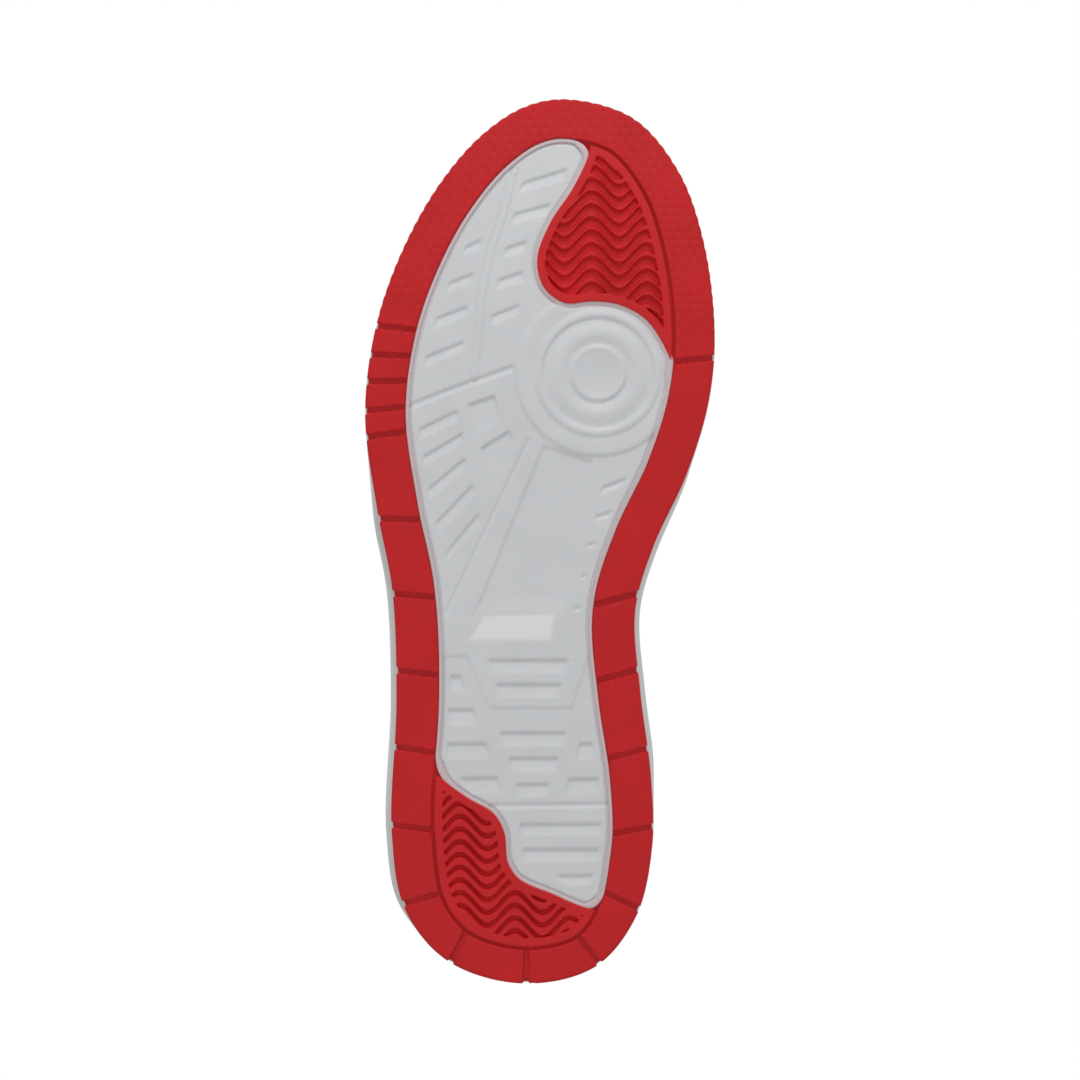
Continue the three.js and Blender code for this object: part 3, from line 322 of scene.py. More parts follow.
def through(points, x):
    """Smooth curve through (x, y) points, read at x."""
    p = np.asarray(points, float)
    x = np.asarray(x, float)
    i = np.clip(np.searchsorted(p[:, 0], x) - 1, 0, len(p) - 2)

    def slope(k):
        a, b = p[np.maximum(k - 1, 0)], p[np.minimum(k + 1, len(p) - 1)]
        return (b[..., 1] - a[..., 1]) / (b[..., 0] - a[..., 0])

    h = p[i + 1, 0] - p[i, 0]
    u = np.clip((x - p[i, 0]) / h, 0, 1)
    rise = (p[i + 1, 1] - p[i, 1]) * u * u * (3 - 2 * u)
    return p[i, 1] + rise + u * (1 - u) * h * (slope(i) * (1 - u) - slope(i + 1) * u)


EDGE_SAMPLES = 720
edge_line = spaced(OUTLINE, EDGE_SAMPLES, True)[:EDGE_SAMPLES]
heel_tip = int(np.argmax(edge_line[:, 1]))
inner_line = edge_line[: heel_tip + 1]
outer_line = np.vstack([edge_line[:1], edge_line[heel_tip:][::-1]])


def wrap(s):
    """A place round the shoe: 0 at the toe, 1 at the heel by the inner side and -1 by the outer side."""
    s = np.asarray(s, float)
    return np.where(s > 1, s - 2, np.where(s < -1, s + 2, s))


def edge_point(s):
    """The point on the sole's edge at a place."""
    s = np.asarray(s, float)
    sides = []
    for line in (inner_line, outer_line):
        at = np.clip(np.abs(s), 0, 1) * (len(line) - 1)
        sides.append(np.stack([np.interp(at, np.arange(len(line)), line[:, k]) for k in (0, 1)], -1))
    return np.where((s < 0)[..., None], sides[1], sides[0])


def edge_normal(s):
    step = 0.006
    run = edge_point(wrap(np.asarray(s) + step)) - edge_point(wrap(np.asarray(s) - step))
    normal = np.stack([run[..., 1], -run[..., 0]], -1)
    return normal / np.linalg.norm(normal, axis=-1, keepdims=True)


def rim_point(s, out):
    """A point beside the sole's edge, out from it or, with a minus, in."""
    return edge_point(s) + edge_normal(s) * np.asarray(out, float)[..., None]


def rim_width(y):
    """The rim is a little wider at the waist and narrower round the heel."""
    return RIM_WIDTH + 0.8 * np.exp(-(((y - 40) / 35) ** 2)) - 2 * smoothstep(y, 110, 148)


def spring(y):
    """How far the toe end curls up off the ground."""
    return TOE_SPRING * (np.maximum(0, SPRING_START - y) / (HALF_LENGTH + SPRING_START)) ** 2


def floor_level(y):
    """The floor inside the foam cup, higher under the heel."""
    return CUP_FLOOR + HEEL_LIFT * smoothstep(y, *HEEL_RAMP)


def cup_top(y):
    return CUP_TOP + (HEEL_LIFT + 1) * smoothstep(y, *HEEL_RAMP)


def bumper_z(y):
    """The top of the rubber's side, which rises into a bumper round the toe."""
    return RUBBER + RIM_LIP + (BUMPER - RIM_LIP) * smoothstep(-y, *BUMPER_RISE)


def round_over(depth, radius):
    """A quarter circle's drop: 1 at an edge and 0 from its radius inwards."""
    return 1 - np.sqrt(np.clip(1 - (1 - np.clip(depth / radius, 0, 1)) ** 2, 0, 1))


def place_at(side, y, line):
    """The place on one side where a line from toe to heel reaches y."""
    low, high = 0.0, 1.0
    for _ in range(30):
        middle = (low + high) / 2
        if line(side * middle)[1] < y:
            low = middle
        else:
            high = middle
    return side * low


def window_point(s):
    """A point on the inner edge of the rim."""
    return rim_point(s, -rim_width(edge_point(s)[..., 1]))


rim_low, rim_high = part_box("outsole_rim")
outline_middle = (edge_line.min(0) + edge_line.max(0)) / 2
ORIGIN = np.array([
    (rim_low.x + rim_high.x) / 2 / MM - outline_middle[0],
    (rim_low.y + rim_high.y) / 2 / MM - outline_middle[1],
    0,
])


# ---- Making meshes ----
def piece(name, points, faces, material, body="shoe", slot=None, nodes=(), sharp=50, merge=False):
    """Makes a mesh object from points in millimetres, gives it its finish and hangs it on its body."""
    mesh = bpy.data.meshes.new(name)
    mesh.from_pydata(((np.asarray(points, float) + ORIGIN) * MM).tolist(), [], faces)
    if merge:
        work = bmesh.new()
        work.from_mesh(mesh)
        bmesh.ops.remove_doubles(work, verts=work.verts, dist=0.01 * MM)
        bmesh.ops.dissolve_degenerate(work, edges=work.edges, dist=0.001 * MM)
        bmesh.ops.recalc_face_normals(work, faces=work.faces)
        work.to_mesh(mesh)
        work.free()
    made = bpy.data.objects.new(name, mesh)
    bpy.context.scene.collection.objects.link(made)
    finish_piece(made, material, body, slot, nodes, sharp)
    return made


def finish_piece(made, material, body, slot, nodes, sharp=50):
    made.data.materials.clear()
    made.data.materials.append(material)
    made.data.polygons.foreach_set("use_smooth", [True] * len(made.data.polygons))
    made.data.set_sharp_from_angle(angle=math.radians(sharp))
    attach(made, body)
    if nodes:
        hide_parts(*nodes)


def contains(loop, points):
    """True for each point inside the loop."""
    x, y = points[:, 0], points[:, 1]
    inside = np.zeros(len(points), bool)
    for (ax, ay), (bx, by) in zip(loop, np.roll(loop, -1, axis=0)):
        if ay == by:
            continue
        crosses = (ay > y) != (by > y)
        inside ^= crosses & (x < (bx - ax) * (y - ay) / (by - ay) + ax)
    return inside


def resample(line, step, closed=True):
    """The line in steps of equal length."""
    line = np.vstack([line, line[:1]]) if closed else np.asarray(line, float)
    run = np.concatenate([[0], np.cumsum(np.linalg.norm(np.diff(line, axis=0), axis=1))])
    count = max(3, int(round(run[-1] / step)))
    at = np.linspace(0, run[-1], count + 1)
    if closed:
        at = at[:-1]
    return np.stack([np.interp(at, run, line[:, k]) for k in range(line.shape[1])], -1)


def clearance(line, points, closed=True):
    """Distance from each point to a line."""
    dense = resample(line, 0.12, closed)
    tree = KDTree(len(dense))
    for i, (x, y) in enumerate(dense):
        tree.insert((x, y, 0), i)
    tree.balance()
    return np.array([tree.find((x, y, 0))[2] for x, y in points])


def offset_loop(loop, inset):
    """The loop moved inwards; it may run either way round."""
    ahead, behind = np.roll(loop, -1, axis=0), np.roll(loop, 1, axis=0)
    run = ahead - behind
    normal = np.stack([-run[:, 1], run[:, 0]], -1)
    normal /= np.linalg.norm(normal, axis=1, keepdims=True)
    area = np.sum(loop[:, 0] * ahead[:, 1] - ahead[:, 0] * loop[:, 1])
    return loop + normal * (inset if area > 0 else -inset)


def offset_line(line, shift):
    """The line moved to its left."""
    run = np.gradient(line, axis=0)
    run /= np.linalg.norm(run, axis=1, keepdims=True)
    return line + np.stack([-run[:, 1], run[:, 0]], -1) * shift


def cut_loop(loop, line, keep):
    """Closes the part of a loop that lies on keep's side of a line across it."""
    run = line[contains(loop, line)]
    first = int(np.argmin(np.linalg.norm(loop - run[0], axis=1)))
    last = int(np.argmin(np.linalg.norm(loop - run[-1], axis=1)))
    count = len(loop)
    forward = [loop[(last + k) % count] for k in range(1, (first - last) % count)]
    backward = [loop[(last - k) % count] for k in range(1, (last - first) % count)]
    for rest in (forward, backward):
        whole = np.vstack([run, rest])
        if contains(whole, np.array([keep], float))[0]:
            return whole
    raise RuntimeError("the line doesn't cut the loop")


def relief(loop, step, edge_rings, height, top):
    """A closed solid over a loop: a fine underside whose height is a function, walls and a top."""
    loop = resample(loop, step)
    rings = [offset_loop(loop, inset) for inset in edge_rings]
    low, high = loop.min(0), loop.max(0)
    gx, gy = np.meshgrid(np.arange(low[0], high[0], step), np.arange(low[1], high[1], step))
    grid = np.stack([gx.ravel(), gy.ravel()], -1)
    grid = grid[contains(loop, grid)]
    grid = grid[clearance(loop, grid) > edge_rings[-1] + 0.5 * step]
    flat = np.vstack([loop, *rings, grid])
    count = len(loop)
    edges = [(i, (i + 1) % count) for i in range(count)]
    verts, _, faces, *_ = delaunay_2d_cdt([Vector(p) for p in flat.tolist()], edges, [], 1, 1e-6)
    places = np.array([tuple(v) for v in verts])
    depth = clearance(loop, places)
    under = np.column_stack([places, height(places, depth) + spring(places[:, 1])])
    faces = [tuple(reversed(f)) for f in faces]
    ahead = {}
    for f in faces:
        for a, b in zip(f, f[1:] + f[:1]):
            ahead[(a, b)] = True
    border = {a: b for (a, b) in ahead if (b, a) not in ahead}
    start = next(iter(border))
    ring, at = [start], border[start]
    while at != start:
        ring.append(at)
        at = border[at]
    over = places[ring]
    base = len(under)
    lid = np.column_stack([over, top + spring(over[:, 1])])
    walls = [
        (ring[k], base + k, base + (k + 1) % len(ring), ring[(k + 1) % len(ring)]) for k in range(len(ring))
    ]
    return np.vstack([under, lid]), faces + walls + [tuple(base + k for k in range(len(ring)))], depth, places


def loft(loops, closed_rows=True):
    """Quads between neighbouring closed loops of equal length."""
    rows, count = len(loops), len(loops[0])
    faces = []
    for r in range(rows if closed_rows else rows - 1):
        low, high = r * count, ((r + 1) % rows) * count
        for c in range(count):
            n = (c + 1) % count
            faces.append((low + c, low + n, high + n, high + c))
    return np.vstack(loops), faces


# ---- Materials ----
def linear(colour, share=1.0):
    """The shader's colour for an sRGB hex value, or for a darker or lighter tone of it."""
    parts = [min(share * int(colour[i: i + 2], 16) / 255, 1) for i in (1, 3, 5)]
    return (*[c / 12.92 if c <= 0.04045 else ((c + 0.055) / 1.055) ** 2.4 for c in parts], 1)


def add(tree, kind, inputs=None, **settings):
    """Adds a node with its settings, and sets or links its inputs."""
    made = tree.nodes.new(kind)
    for key, value in settings.items():
        setattr(made, key, value)
    for key, value in (inputs or {}).items():
        if isinstance(value, bpy.types.NodeSocket):
            tree.links.new(value, made.inputs[key])
        else:
            made.inputs[key].default_value = value
    return made


def new_material(name):
    made = bpy.data.materials.get(name) or bpy.data.materials.new(name)
    made.use_nodes = True
    made.node_tree.nodes.clear()
    return made, made.node_tree


def surface(name):
    """A new material, its tree, and its piece's own coordinates."""
    made, tree = new_material(name)
    return made, tree, add(tree, "ShaderNodeTexCoord").outputs["Object"]


def shade(tree, **sockets):
    """Ends a material with its shader."""
    shader = add(tree, "ShaderNodeBsdfPrincipled", {k.replace("_", " "): v for k, v in sockets.items()})
    add(tree, "ShaderNodeOutputMaterial", {"Surface": shader.outputs["BSDF"]})


def tinted(tree, factor, colour, spread, low=0.3, high=0.7):
    """A ramp from a little darker than a colour to a little lighter."""
    ramp = add(tree, "ShaderNodeValToRGB", {"Fac": factor})
    for element, place, share in zip(ramp.color_ramp.elements, (low, high), (1 - spread, 1 + spread)):
        element.position, element.color = place, linear(colour, share)
    return ramp.outputs["Color"]


def moulded_rubber(name, colour):
    """Vulcanised rubber: a dull, even red with a fine mould grain and a little bloom on the surface."""
    made, tree, place = surface(name)
    bloom = add(tree, "ShaderNodeTexNoise", {"Vector": place, "Scale": 45, "Detail": 4, "Roughness": 0.6})
    tint = tinted(tree, bloom.outputs["Fac"], colour, 0.03)
    # The mould grain is 0.9 mm across.
    grain = add(tree, "ShaderNodeTexNoise", {"Vector": place, "Scale": 1100, "Detail": 3, "Roughness": 0.55})
    bump = add(tree, "ShaderNodeBump", {"Height": grain.outputs["Fac"], "Strength": 0.25,
                                        "Distance": 0.12 * MM})
    rough = add(tree, "ShaderNodeMapRange", {"Value": bloom.outputs["Fac"], "To Min": 0.5, "To Max": 0.68})
    shade(tree, Base_Color=tint, Roughness=rough.outputs["Result"], Normal=bump.outputs["Normal"],
          Specular_IOR_Level=0.22)
    return made


def moulded_plate_rubber(name, colour):
    """White thermoplastic rubber: smooth and slightly waxy, thin and pinkish where its lip meets the red."""
    made, tree, place = surface(name)
    lip = add(tree, "ShaderNodeAttribute", attribute_name="lip")
    smooth = add(tree, "ShaderNodeAttribute", attribute_name="smooth")
    cloud = add(tree, "ShaderNodeTexNoise", {"Vector": place, "Scale": 60, "Detail": 3, "Roughness": 0.5})
    tint = tinted(tree, cloud.outputs["Fac"], colour, 0.014, 0.25, 0.75)
    # The blank patch is painted lighter than the plate: a painted highlight, not a colour of its own.
    patch = add(tree, "ShaderNodeMix", {0: smooth.outputs["Fac"], 6: tint, 7: linear("#F3F3F1")},
                data_type="RGBA")
    edged = add(tree, "ShaderNodeMix", {0: lip.outputs["Fac"], 6: patch.outputs[2], 7: linear("#DCC9CC")},
                data_type="RGBA")
    # The mould's spark grain is 1 mm across.
    grain = add(tree, "ShaderNodeTexNoise", {"Vector": place, "Scale": 1000, "Detail": 3, "Roughness": 0.6})
    bump = add(tree, "ShaderNodeBump", {"Height": grain.outputs["Fac"], "Strength": 0.55,
                                        "Distance": 0.2 * MM})
    shade(tree, Base_Color=edged.outputs[2], Roughness=0.45, Normal=bump.outputs["Normal"],
          Subsurface_Weight=0.12, Subsurface_Radius=(1, 0.6, 0.5), Subsurface_Scale=1.2 * MM,
          Specular_IOR_Level=0.35)
    return made


def foam(name, colour):
    """Moulded EVA foam: matt white with a fine pebble skin."""
    made, tree, place = surface(name)
    cloud = add(tree, "ShaderNodeTexNoise", {"Vector": place, "Scale": 35, "Detail": 3})
    tint = tinted(tree, cloud.outputs["Fac"], colour, 0.02)
    # Pebbles are 0.9 mm across.
    pebble = add(tree, "ShaderNodeTexVoronoi", {"Vector": place, "Scale": 1100}, feature="SMOOTH_F1")
    bump = add(tree, "ShaderNodeBump", {"Height": pebble.outputs["Distance"], "Strength": 0.35,
                                        "Distance": 0.12 * MM}, invert=True)
    shade(tree, Base_Color=tint, Roughness=0.62, Normal=bump.outputs["Normal"],
          Specular_IOR_Level=0.3)
    return made


def grained_leather(name, colour, spread=0.02):
    """Corrected-grain cowhide: pebbled cells with fine creases between them, and a soft sheen."""
    made, tree, place = surface(name)
    wander = add(tree, "ShaderNodeTexNoise", {"Vector": place, "Scale": 220, "Detail": 2})
    bent = add(tree, "ShaderNodeMix", {0: 0.0035, 6: place, 7: wander.outputs["Color"]}, data_type="RGBA")
    # The grain's cells are 1.3 mm across.
    cells = add(tree, "ShaderNodeTexVoronoi", {"Vector": bent.outputs[2], "Scale": 780},
                feature="DISTANCE_TO_EDGE")
    crease = add(tree, "ShaderNodeMapRange", {"Value": cells.outputs["Distance"], "From Max": 0.16})
    cloud = add(tree, "ShaderNodeTexNoise", {"Vector": place, "Scale": 30, "Detail": 4})
    tint = tinted(tree, cloud.outputs["Fac"], colour, spread)
    pores = add(tree, "ShaderNodeTexNoise", {"Vector": place, "Scale": 2600, "Detail": 1})
    height = add(tree, "ShaderNodeMath", {0: crease.outputs["Result"], 1: pores.outputs["Fac"]},
                 operation="ADD")
    bump = add(tree, "ShaderNodeBump", {"Height": height.outputs[0], "Strength": 0.3, "Distance": 0.1 * MM})
    rough = add(tree, "ShaderNodeMapRange", {"Value": crease.outputs["Result"], "To Min": 0.62,
                                             "To Max": 0.42})
    shade(tree, Base_Color=tint, Roughness=rough.outputs["Result"], Normal=bump.outputs["Normal"],
          Coat_Weight=0.08, Coat_Roughness=0.35)
    return made


def woven(name, colour, spread, pitch):
    """Woven polyester: crossed threads with a painted highlight on their crowns and painted shade in the gaps
    between them.
    """
    made, tree, place = surface(name)
    turned = add(tree, "ShaderNodeMapping", {"Vector": place, "Rotation": (0.62, 0.62, 0.79)})
    # The threads are pitch millimetres apart.
    bands = [
        add(tree, "ShaderNodeTexWave", {"Vector": turned.outputs[0], "Scale": 1000 / pitch / 3.14,
                                        "Distortion": 0.4}, bands_direction=way)
        for way in ("X", "Y", "Z")
    ]
    first = add(tree, "ShaderNodeMath", {0: bands[0].outputs["Fac"], 1: bands[1].outputs["Fac"]},
                operation="MULTIPLY")
    both = add(tree, "ShaderNodeMath", {0: first.outputs[0], 1: bands[2].outputs["Fac"]}, operation="ADD")
    cloud = add(tree, "ShaderNodeTexNoise", {"Vector": place, "Scale": 90, "Detail": 3})
    mixed = add(tree, "ShaderNodeMath", {0: both.outputs[0], 1: cloud.outputs["Fac"]}, operation="MULTIPLY")
    # The colour follows the weave: a painted highlight on the crowns and painted shade in the gaps, mottled by a
    # cloud.
    tint = tinted(tree, mixed.outputs[0], colour, spread, 0.05)
    bump = add(tree, "ShaderNodeBump", {"Height": both.outputs[0], "Strength": 0.5, "Distance": 0.2 * MM})
    shade(tree, Base_Color=tint, Roughness=0.85, Normal=bump.outputs["Normal"],
          Sheen_Weight=0.25, Sheen_Roughness=0.5, Specular_IOR_Level=0.2)
    return made


def nickel_plate(name):
    """Nickel-plated brass eyelets: bright with a faint rolled brushing."""
    made, tree, place = surface(name)
    marks = add(tree, "ShaderNodeTexNoise", {"Vector": place, "Scale": 900, "Detail": 4})
    rough = add(tree, "ShaderNodeMapRange", {"Value": marks.outputs["Fac"], "To Min": 0.2, "To Max": 0.38})
    shade(tree, Base_Color=linear("#C9C7C2"), Metallic=1.0, Roughness=rough.outputs["Result"])
    return made


def clear_acetate(name):
    """Cellulose acetate film rolled round the lace end: milky, glossy plastic."""
    made, tree, place = surface(name)
    swirl = add(tree, "ShaderNodeTexNoise", {"Vector": place, "Scale": 700, "Detail": 2})
    rough = add(tree, "ShaderNodeMapRange", {"Value": swirl.outputs["Fac"], "To Min": 0.12, "To Max": 0.25})
    shade(tree, Base_Color=linear("#E4E6E8"), Roughness=rough.outputs["Result"], IOR=1.48,
          Transmission_Weight=0.25, Coat_Weight=0.3)
    return made


def spun_thread(name, colour):
    """Bonded polyester sewing thread: two plies twisted into a cord."""
    made, tree, place = surface(name)
    twist = add(tree, "ShaderNodeTexWave", {"Vector": place, "Scale": 420, "Distortion": 1},
                bands_direction="DIAGONAL")
    bump = add(tree, "ShaderNodeBump", {"Height": twist.outputs["Fac"], "Strength": 0.4,
                                        "Distance": 0.1 * MM})
    shade(tree, Base_Color=linear(colour), Roughness=0.6, Normal=bump.outputs["Normal"], Sheen_Weight=0.1)
    return made


# ---- Sole ----
def slots():
    """Each slot's two ends on the ground."""
    ends = []
    for side, places in ((-1, OUTER_SLOTS), (1, INNER_SLOTS)):
        for outer_y, inner_y in places:
            outer = edge_point(place_at(side, outer_y, edge_point))
            ends.append((outer, window_point(place_at(side, inner_y, window_point))))
    ends += [(edge_point(outer), window_point(inner)) for outer, inner in HEEL_SLOTS]
    return ends


def slot_mask(points, half, soft):
    """1 in a slot and 0 away from it, for points round the rim."""
    mask = np.zeros(points.shape[:-1])
    for outer, inner in slots():
        way = (outer - inner) / np.linalg.norm(outer - inner)
        rel = points - inner
        run = rel @ way
        off = np.abs(rel[..., 0] * way[1] - rel[..., 1] * way[0])
        near = (run > -3) & (run < np.linalg.norm(outer - inner) + 6)
        mask = np.maximum(mask, np.where(near, 1 - smoothstep(off, half - soft, half + soft), 0))
    return mask


def toe_texture(points):
    """Rows of small staggered dimples round the toe."""
    pitch_x, pitch_y = DIMPLE_PITCH
    y_at = points[..., 1] / pitch_y
    best = np.full(points.shape[:-1], 9.0)
    for k in (0, 1):
        row = np.floor(y_at) + k
        x_at = points[..., 0] / pitch_x + 0.5 * (row % 2)
        dx = (x_at - np.round(x_at)) * pitch_x
        dy = (y_at - row) * pitch_y
        best = np.minimum(best, np.hypot(dx, dy * 0.9))
    start = np.where(points[..., 0] > 0, *TOE_TEXTURE_END)
    return np.where(points[..., 1] < start, 1 - smoothstep(best, DIMPLE_RADIUS * 0.35, DIMPLE_RADIUS), 0)


def rim_mesh(dimple, serration):
    """The rim's section at each station, cut by its slots and worked by its mould."""
    s = np.linspace(-1, 1, RIM_STATIONS, endpoint=False)
    y = edge_point(s)[:, 1]
    width, top = rim_width(y), bumper_z(y)
    lean = 0.03 * (top - RUBBER)
    rows = []
    for share in np.linspace(0, 1, 27):  # across the tread, from the window to the edge
        rows.append((-width + WINDOW_EDGE + share * (width - WINDOW_EDGE - EDGE_ROUND), 0 * y, "tread"))
    for turn in (18, 36, 54, 72, 90):  # round the ground edge
        angle = math.radians(turn)
        rows.append((EDGE_ROUND * (np.sin(angle) - 1) + 0 * y, EDGE_ROUND * (1 - np.cos(angle)) + 0 * y, "edge"))
    for share in np.linspace(0, 1, 14)[1:]:
        rows.append((-lean * share, lerp(EDGE_ROUND, top - 0.4, share), "side"))
    rows.append((-lean - 0.4, top, "lip"))
    rows.append((-RIM_WALL - lean, top, "lip"))
    rows.append((-RIM_WALL + 0 * y, RUBBER + 0 * y, "lip"))
    # The shelf under the plate reaches further in behind the plate's rounded corners.
    to_corner = np.minimum.reduce([
        np.linalg.norm(window_point(s) - (cx, cy), axis=1) / (radius + 1) for cx, cy, radius in PLATE_CORNERS
    ])
    shelf = SHELF + 2.2 * np.exp(-to_corner ** 4)
    rows.append((-width - shelf, RUBBER + 0 * y, "lip"))
    rows.append((-width - shelf, SHELF_HEIGHT + 0 * y, "lip"))
    rows.append((-width, SHELF_HEIGHT + 0 * y, "lip"))
    rows.append((-width, WINDOW_EDGE + 0 * y, "inner"))
    run = np.concatenate([[0], np.cumsum(np.linalg.norm(np.diff(edge_point(s), axis=0), axis=1))])
    loops = []
    for out, z, kind in rows:
        flat = rim_point(s, out)
        cut = slot_mask(flat, SLOT_WIDTH / 2, 0.3)
        toe = toe_texture(flat)
        if kind in ("tread", "inner"):
            z = np.maximum(z + dimple * toe, SLOT_DEPTH * cut)
        if kind in ("edge", "side"):
            here = smoothstep(-y, np.where(edge_point(s)[:, 0] > 0, 62, 73), np.where(s > 0, 66, 77))
            teeth = 0.5 + 0.5 * np.cos(2 * np.pi * (run / TOOTH[0] + 0.5 * np.floor(z / TOOTH[1])))
            fade = 1 - smoothstep(z, top - 2.5, top - 1)
            out = out - serration * here * teeth ** 2 * fade - NOTCH_CUT * cut * smoothstep(z + 0.6, 0, 0.6)
            z = np.maximum(z, SLOT_DEPTH * cut) if kind == "edge" else z
        flat = rim_point(s, out)
        loops.append(np.column_stack([flat, z + spring(flat[:, 1])]))
    return loft(loops)


def wave_recess(points, crest_x, crest_y, pitch, width):
    """1 inside a wavy recess and 0 on the ribs between them."""
    phase = 2 * np.pi * (points[:, 0] - crest_x) / WAVE_LENGTH
    slope = WAVE_HEIGHT * 2 * np.pi / WAVE_LENGTH * np.sin(phase)
    mid = points[:, 1] + WAVE_HEIGHT * np.cos(phase) - crest_y - WAVE_HEIGHT
    off = np.abs(mid / pitch - np.round(mid / pitch)) * pitch
    off = off / np.hypot(1, slope * 0.55)
    return 1 - smoothstep(off, width / 2 - 0.3, width / 2 + 0.3)


def pad_edge(stops):
    """The line where a tread pad meets the plate."""
    return resample(spaced(stops, 60), 0.5, False)


def pad_mesh(edge, keep, waves, wave_depth):
    """A tread pad: the part of the rim's window on one side of its edge, with a border round its waves."""
    def height(points, depth):
        waved = smoothstep(depth, PAD_BORDER - 0.35, PAD_BORDER + 0.35)
        return wave_depth * (wave_recess(points, *waves) * waved) + PAD_ROUND * round_over(depth, PAD_ROUND)

    loop = cut_loop(rim_loop(PAD_GROOVE), pad_edge(edge), keep)
    return relief(loop, PAD_STEP, (0.1, 0.25, 0.5), height, RUBBER)


def rim_loop(inset):
    s = np.linspace(-1, 1, 900, endpoint=False)
    return rim_point(s, -rim_width(edge_point(s)[:, 1]) - inset)


def side_of(points, a, b):
    """Signed distance from a line, positive on its left."""
    run = np.array(b, float) - a
    run /= np.linalg.norm(run)
    rel = points - np.array(a, float)
    return run[0] * rel[:, 1] - run[1] * rel[:, 0]


def inside_of(points, corners):
    """How far each point lies inside a convex outline of corners, less than nothing outside."""
    area = sum(a[0] * b[1] - b[0] * a[1] for a, b in zip(corners, corners[1:] + corners[:1]))
    sign = 1 if area > 0 else -1
    return np.min([sign * side_of(points, a, b) for a, b in zip(corners, corners[1:] + corners[:1])], axis=0)


def pocket_depth(points, corners):
    """A scoop with a steep wall at its toe side and a ramp up to its heel side."""
    low, high = np.min(corners, 0) - 2, np.max(corners, 0) + 2
    near = np.all((points > low) & (points < high), axis=1)
    depth = np.zeros(len(points))
    p = points[near]
    a, b, c, d = corners
    sign = 1 if side_of(np.array([c], float), a, b)[0] > 0 else -1
    toe = sign * side_of(p, a, b)
    heel = sign * side_of(p, c, d)
    ends = np.minimum(sign * side_of(p, b, c), sign * side_of(p, d, a))
    run = np.clip(toe / np.maximum(toe + heel, 0.1), 0, 1)
    wall = smoothstep(toe, -0.25, 1.0) * smoothstep(ends, -0.35, 1.1)
    depth[near] = wall * smoothstep(heel, -0.5, 0.5) * (1 - run) ** 0.75
    return depth


def groove(points, line, half, soft):
    """1 along a line and 0 away from it."""
    return 1 - smoothstep(clearance(np.array(line, float), points, False), half - soft, half + soft)


def plate_loop():
    """The plate's outline: the rim's window less the two tread pads, with its sharp corners rounded."""
    loop, middle = rim_loop(GAP), (-5, 20)
    for edge in (TOE_PAD_EDGE, HEEL_PAD_EDGE):
        loop = cut_loop(loop, offset_line(pad_edge(edge), PAD_GROOVE), middle)
    for x, y, radius in PLATE_CORNERS:
        loop = round_corner(loop, (x, y), radius)
    return loop


def round_corner(loop, corner, radius):
    """Replaces the loop near a corner with a curve."""
    tip = int(np.argmin(np.linalg.norm(loop - corner, axis=1)))
    turned = np.roll(loop, -tip, axis=0)
    far = np.linalg.norm(turned - turned[0], axis=1) > radius
    first = int(np.argmax(far))
    last = len(turned) - int(np.argmax(far[::-1]))
    u = np.linspace(0, 1, 14)[:, None]
    bend = (1 - u) ** 2 * turned[last - 1] + 2 * u * (1 - u) * turned[0] + u ** 2 * turned[first]
    return np.vstack([turned[first:last], bend[1:-1]])


def plate_height(points, depth):
    """Height of the plate's face above the ground."""
    to_pivot = np.hypot(points[:, 0] - PIVOT[0], points[:, 1] - PIVOT[1])
    z = np.full(len(points), PLATE_RECESS)
    panel = np.minimum.reduce([
        side_of(points, PANEL[0], PANEL[1]), side_of(points, PANEL[1], PANEL[2]),
        0.2 * side_of(points, *PANEL_FOOT), -side_of(points, *STRUT[1]),
    ])
    z += PANEL_DEPTH * smoothstep(panel, -0.4, 1.3)
    z += PATCH_DEPTH * smoothstep(inside_of(points, BLANK_PATCH), -0.6, 0.9)
    z += STRUT_DEPTH * groove(points, STRUT[0], 0.55, 0.45)
    tray = np.minimum.reduce([
        side_of(points, TRAY[2], TRAY[1]), TRAY[2][1] - points[:, 1], -side_of(points, TRAY[3], TRAY[4]),
    ])
    tray = np.maximum(tray, TRAY[0][1] - points[:, 1])
    z -= TRAY_RISE * smoothstep(tray, -0.5, 0.5) * smoothstep(points[:, 1], 12, 37)
    rib = clearance(np.array(SPINE_RIB, float), points, False)
    beside = 1 - smoothstep(np.abs(rib - 1.35), 0.15, 0.6)
    z += RIB_DEPTH * beside - RIB_RISE * (1 - smoothstep(rib, 0.4, 1.2))
    z += CROSS_DEPTH * groove(points, CROSS_GROOVE, 0.85, 0.5)
    z += HEEL_DEPTH * groove(points, HEEL_GROOVE, 0.7, 0.5)
    for corners in POCKETS:
        z += POCKET_DEPTH * pocket_depth(points, corners)
    z = np.where(to_pivot < PIVOT_RADIUS, through(PIVOT_SECTION, to_pivot), z)
    wide = lip_width(points)
    lip = 1 - smoothstep(depth, wide - 0.35, wide + 0.05)
    trench = smoothstep(depth, wide - 0.3, wide) * (1 - smoothstep(depth, wide + 0.35, wide + 0.95))
    z = lerp(z, LIP_LEVEL, lip) + LIP_TRENCH * trench
    return z + PLATE_ROUND * round_over(depth, PLATE_ROUND)


def lip_width(points):
    """The lip is wider where it faces a tread pad."""
    toe = clearance(spaced(TOE_PAD_EDGE, 60), points, False)
    heel = clearance(spaced(HEEL_PAD_EDGE, 60), points, False)
    return LIP_WIDTH + 0.9 * (1 - smoothstep(np.minimum(toe, heel), 3.2, 6))


def plate_mesh():
    rings = (0.12, 0.3, 0.6, 1.0, 1.35, 1.7, 2.05, 2.4, 2.75, 3.1)
    return relief(plate_loop(), PLATE_STEP, rings, plate_height, RUBBER)


def paint(made, name, values):
    """Stores a value a point, for the material to read."""
    layer = made.data.attributes.new(name, "FLOAT", "POINT")
    full = np.zeros(len(made.data.vertices), np.float32)
    full[: len(values)] = values
    layer.data.foreach_set("value", full)


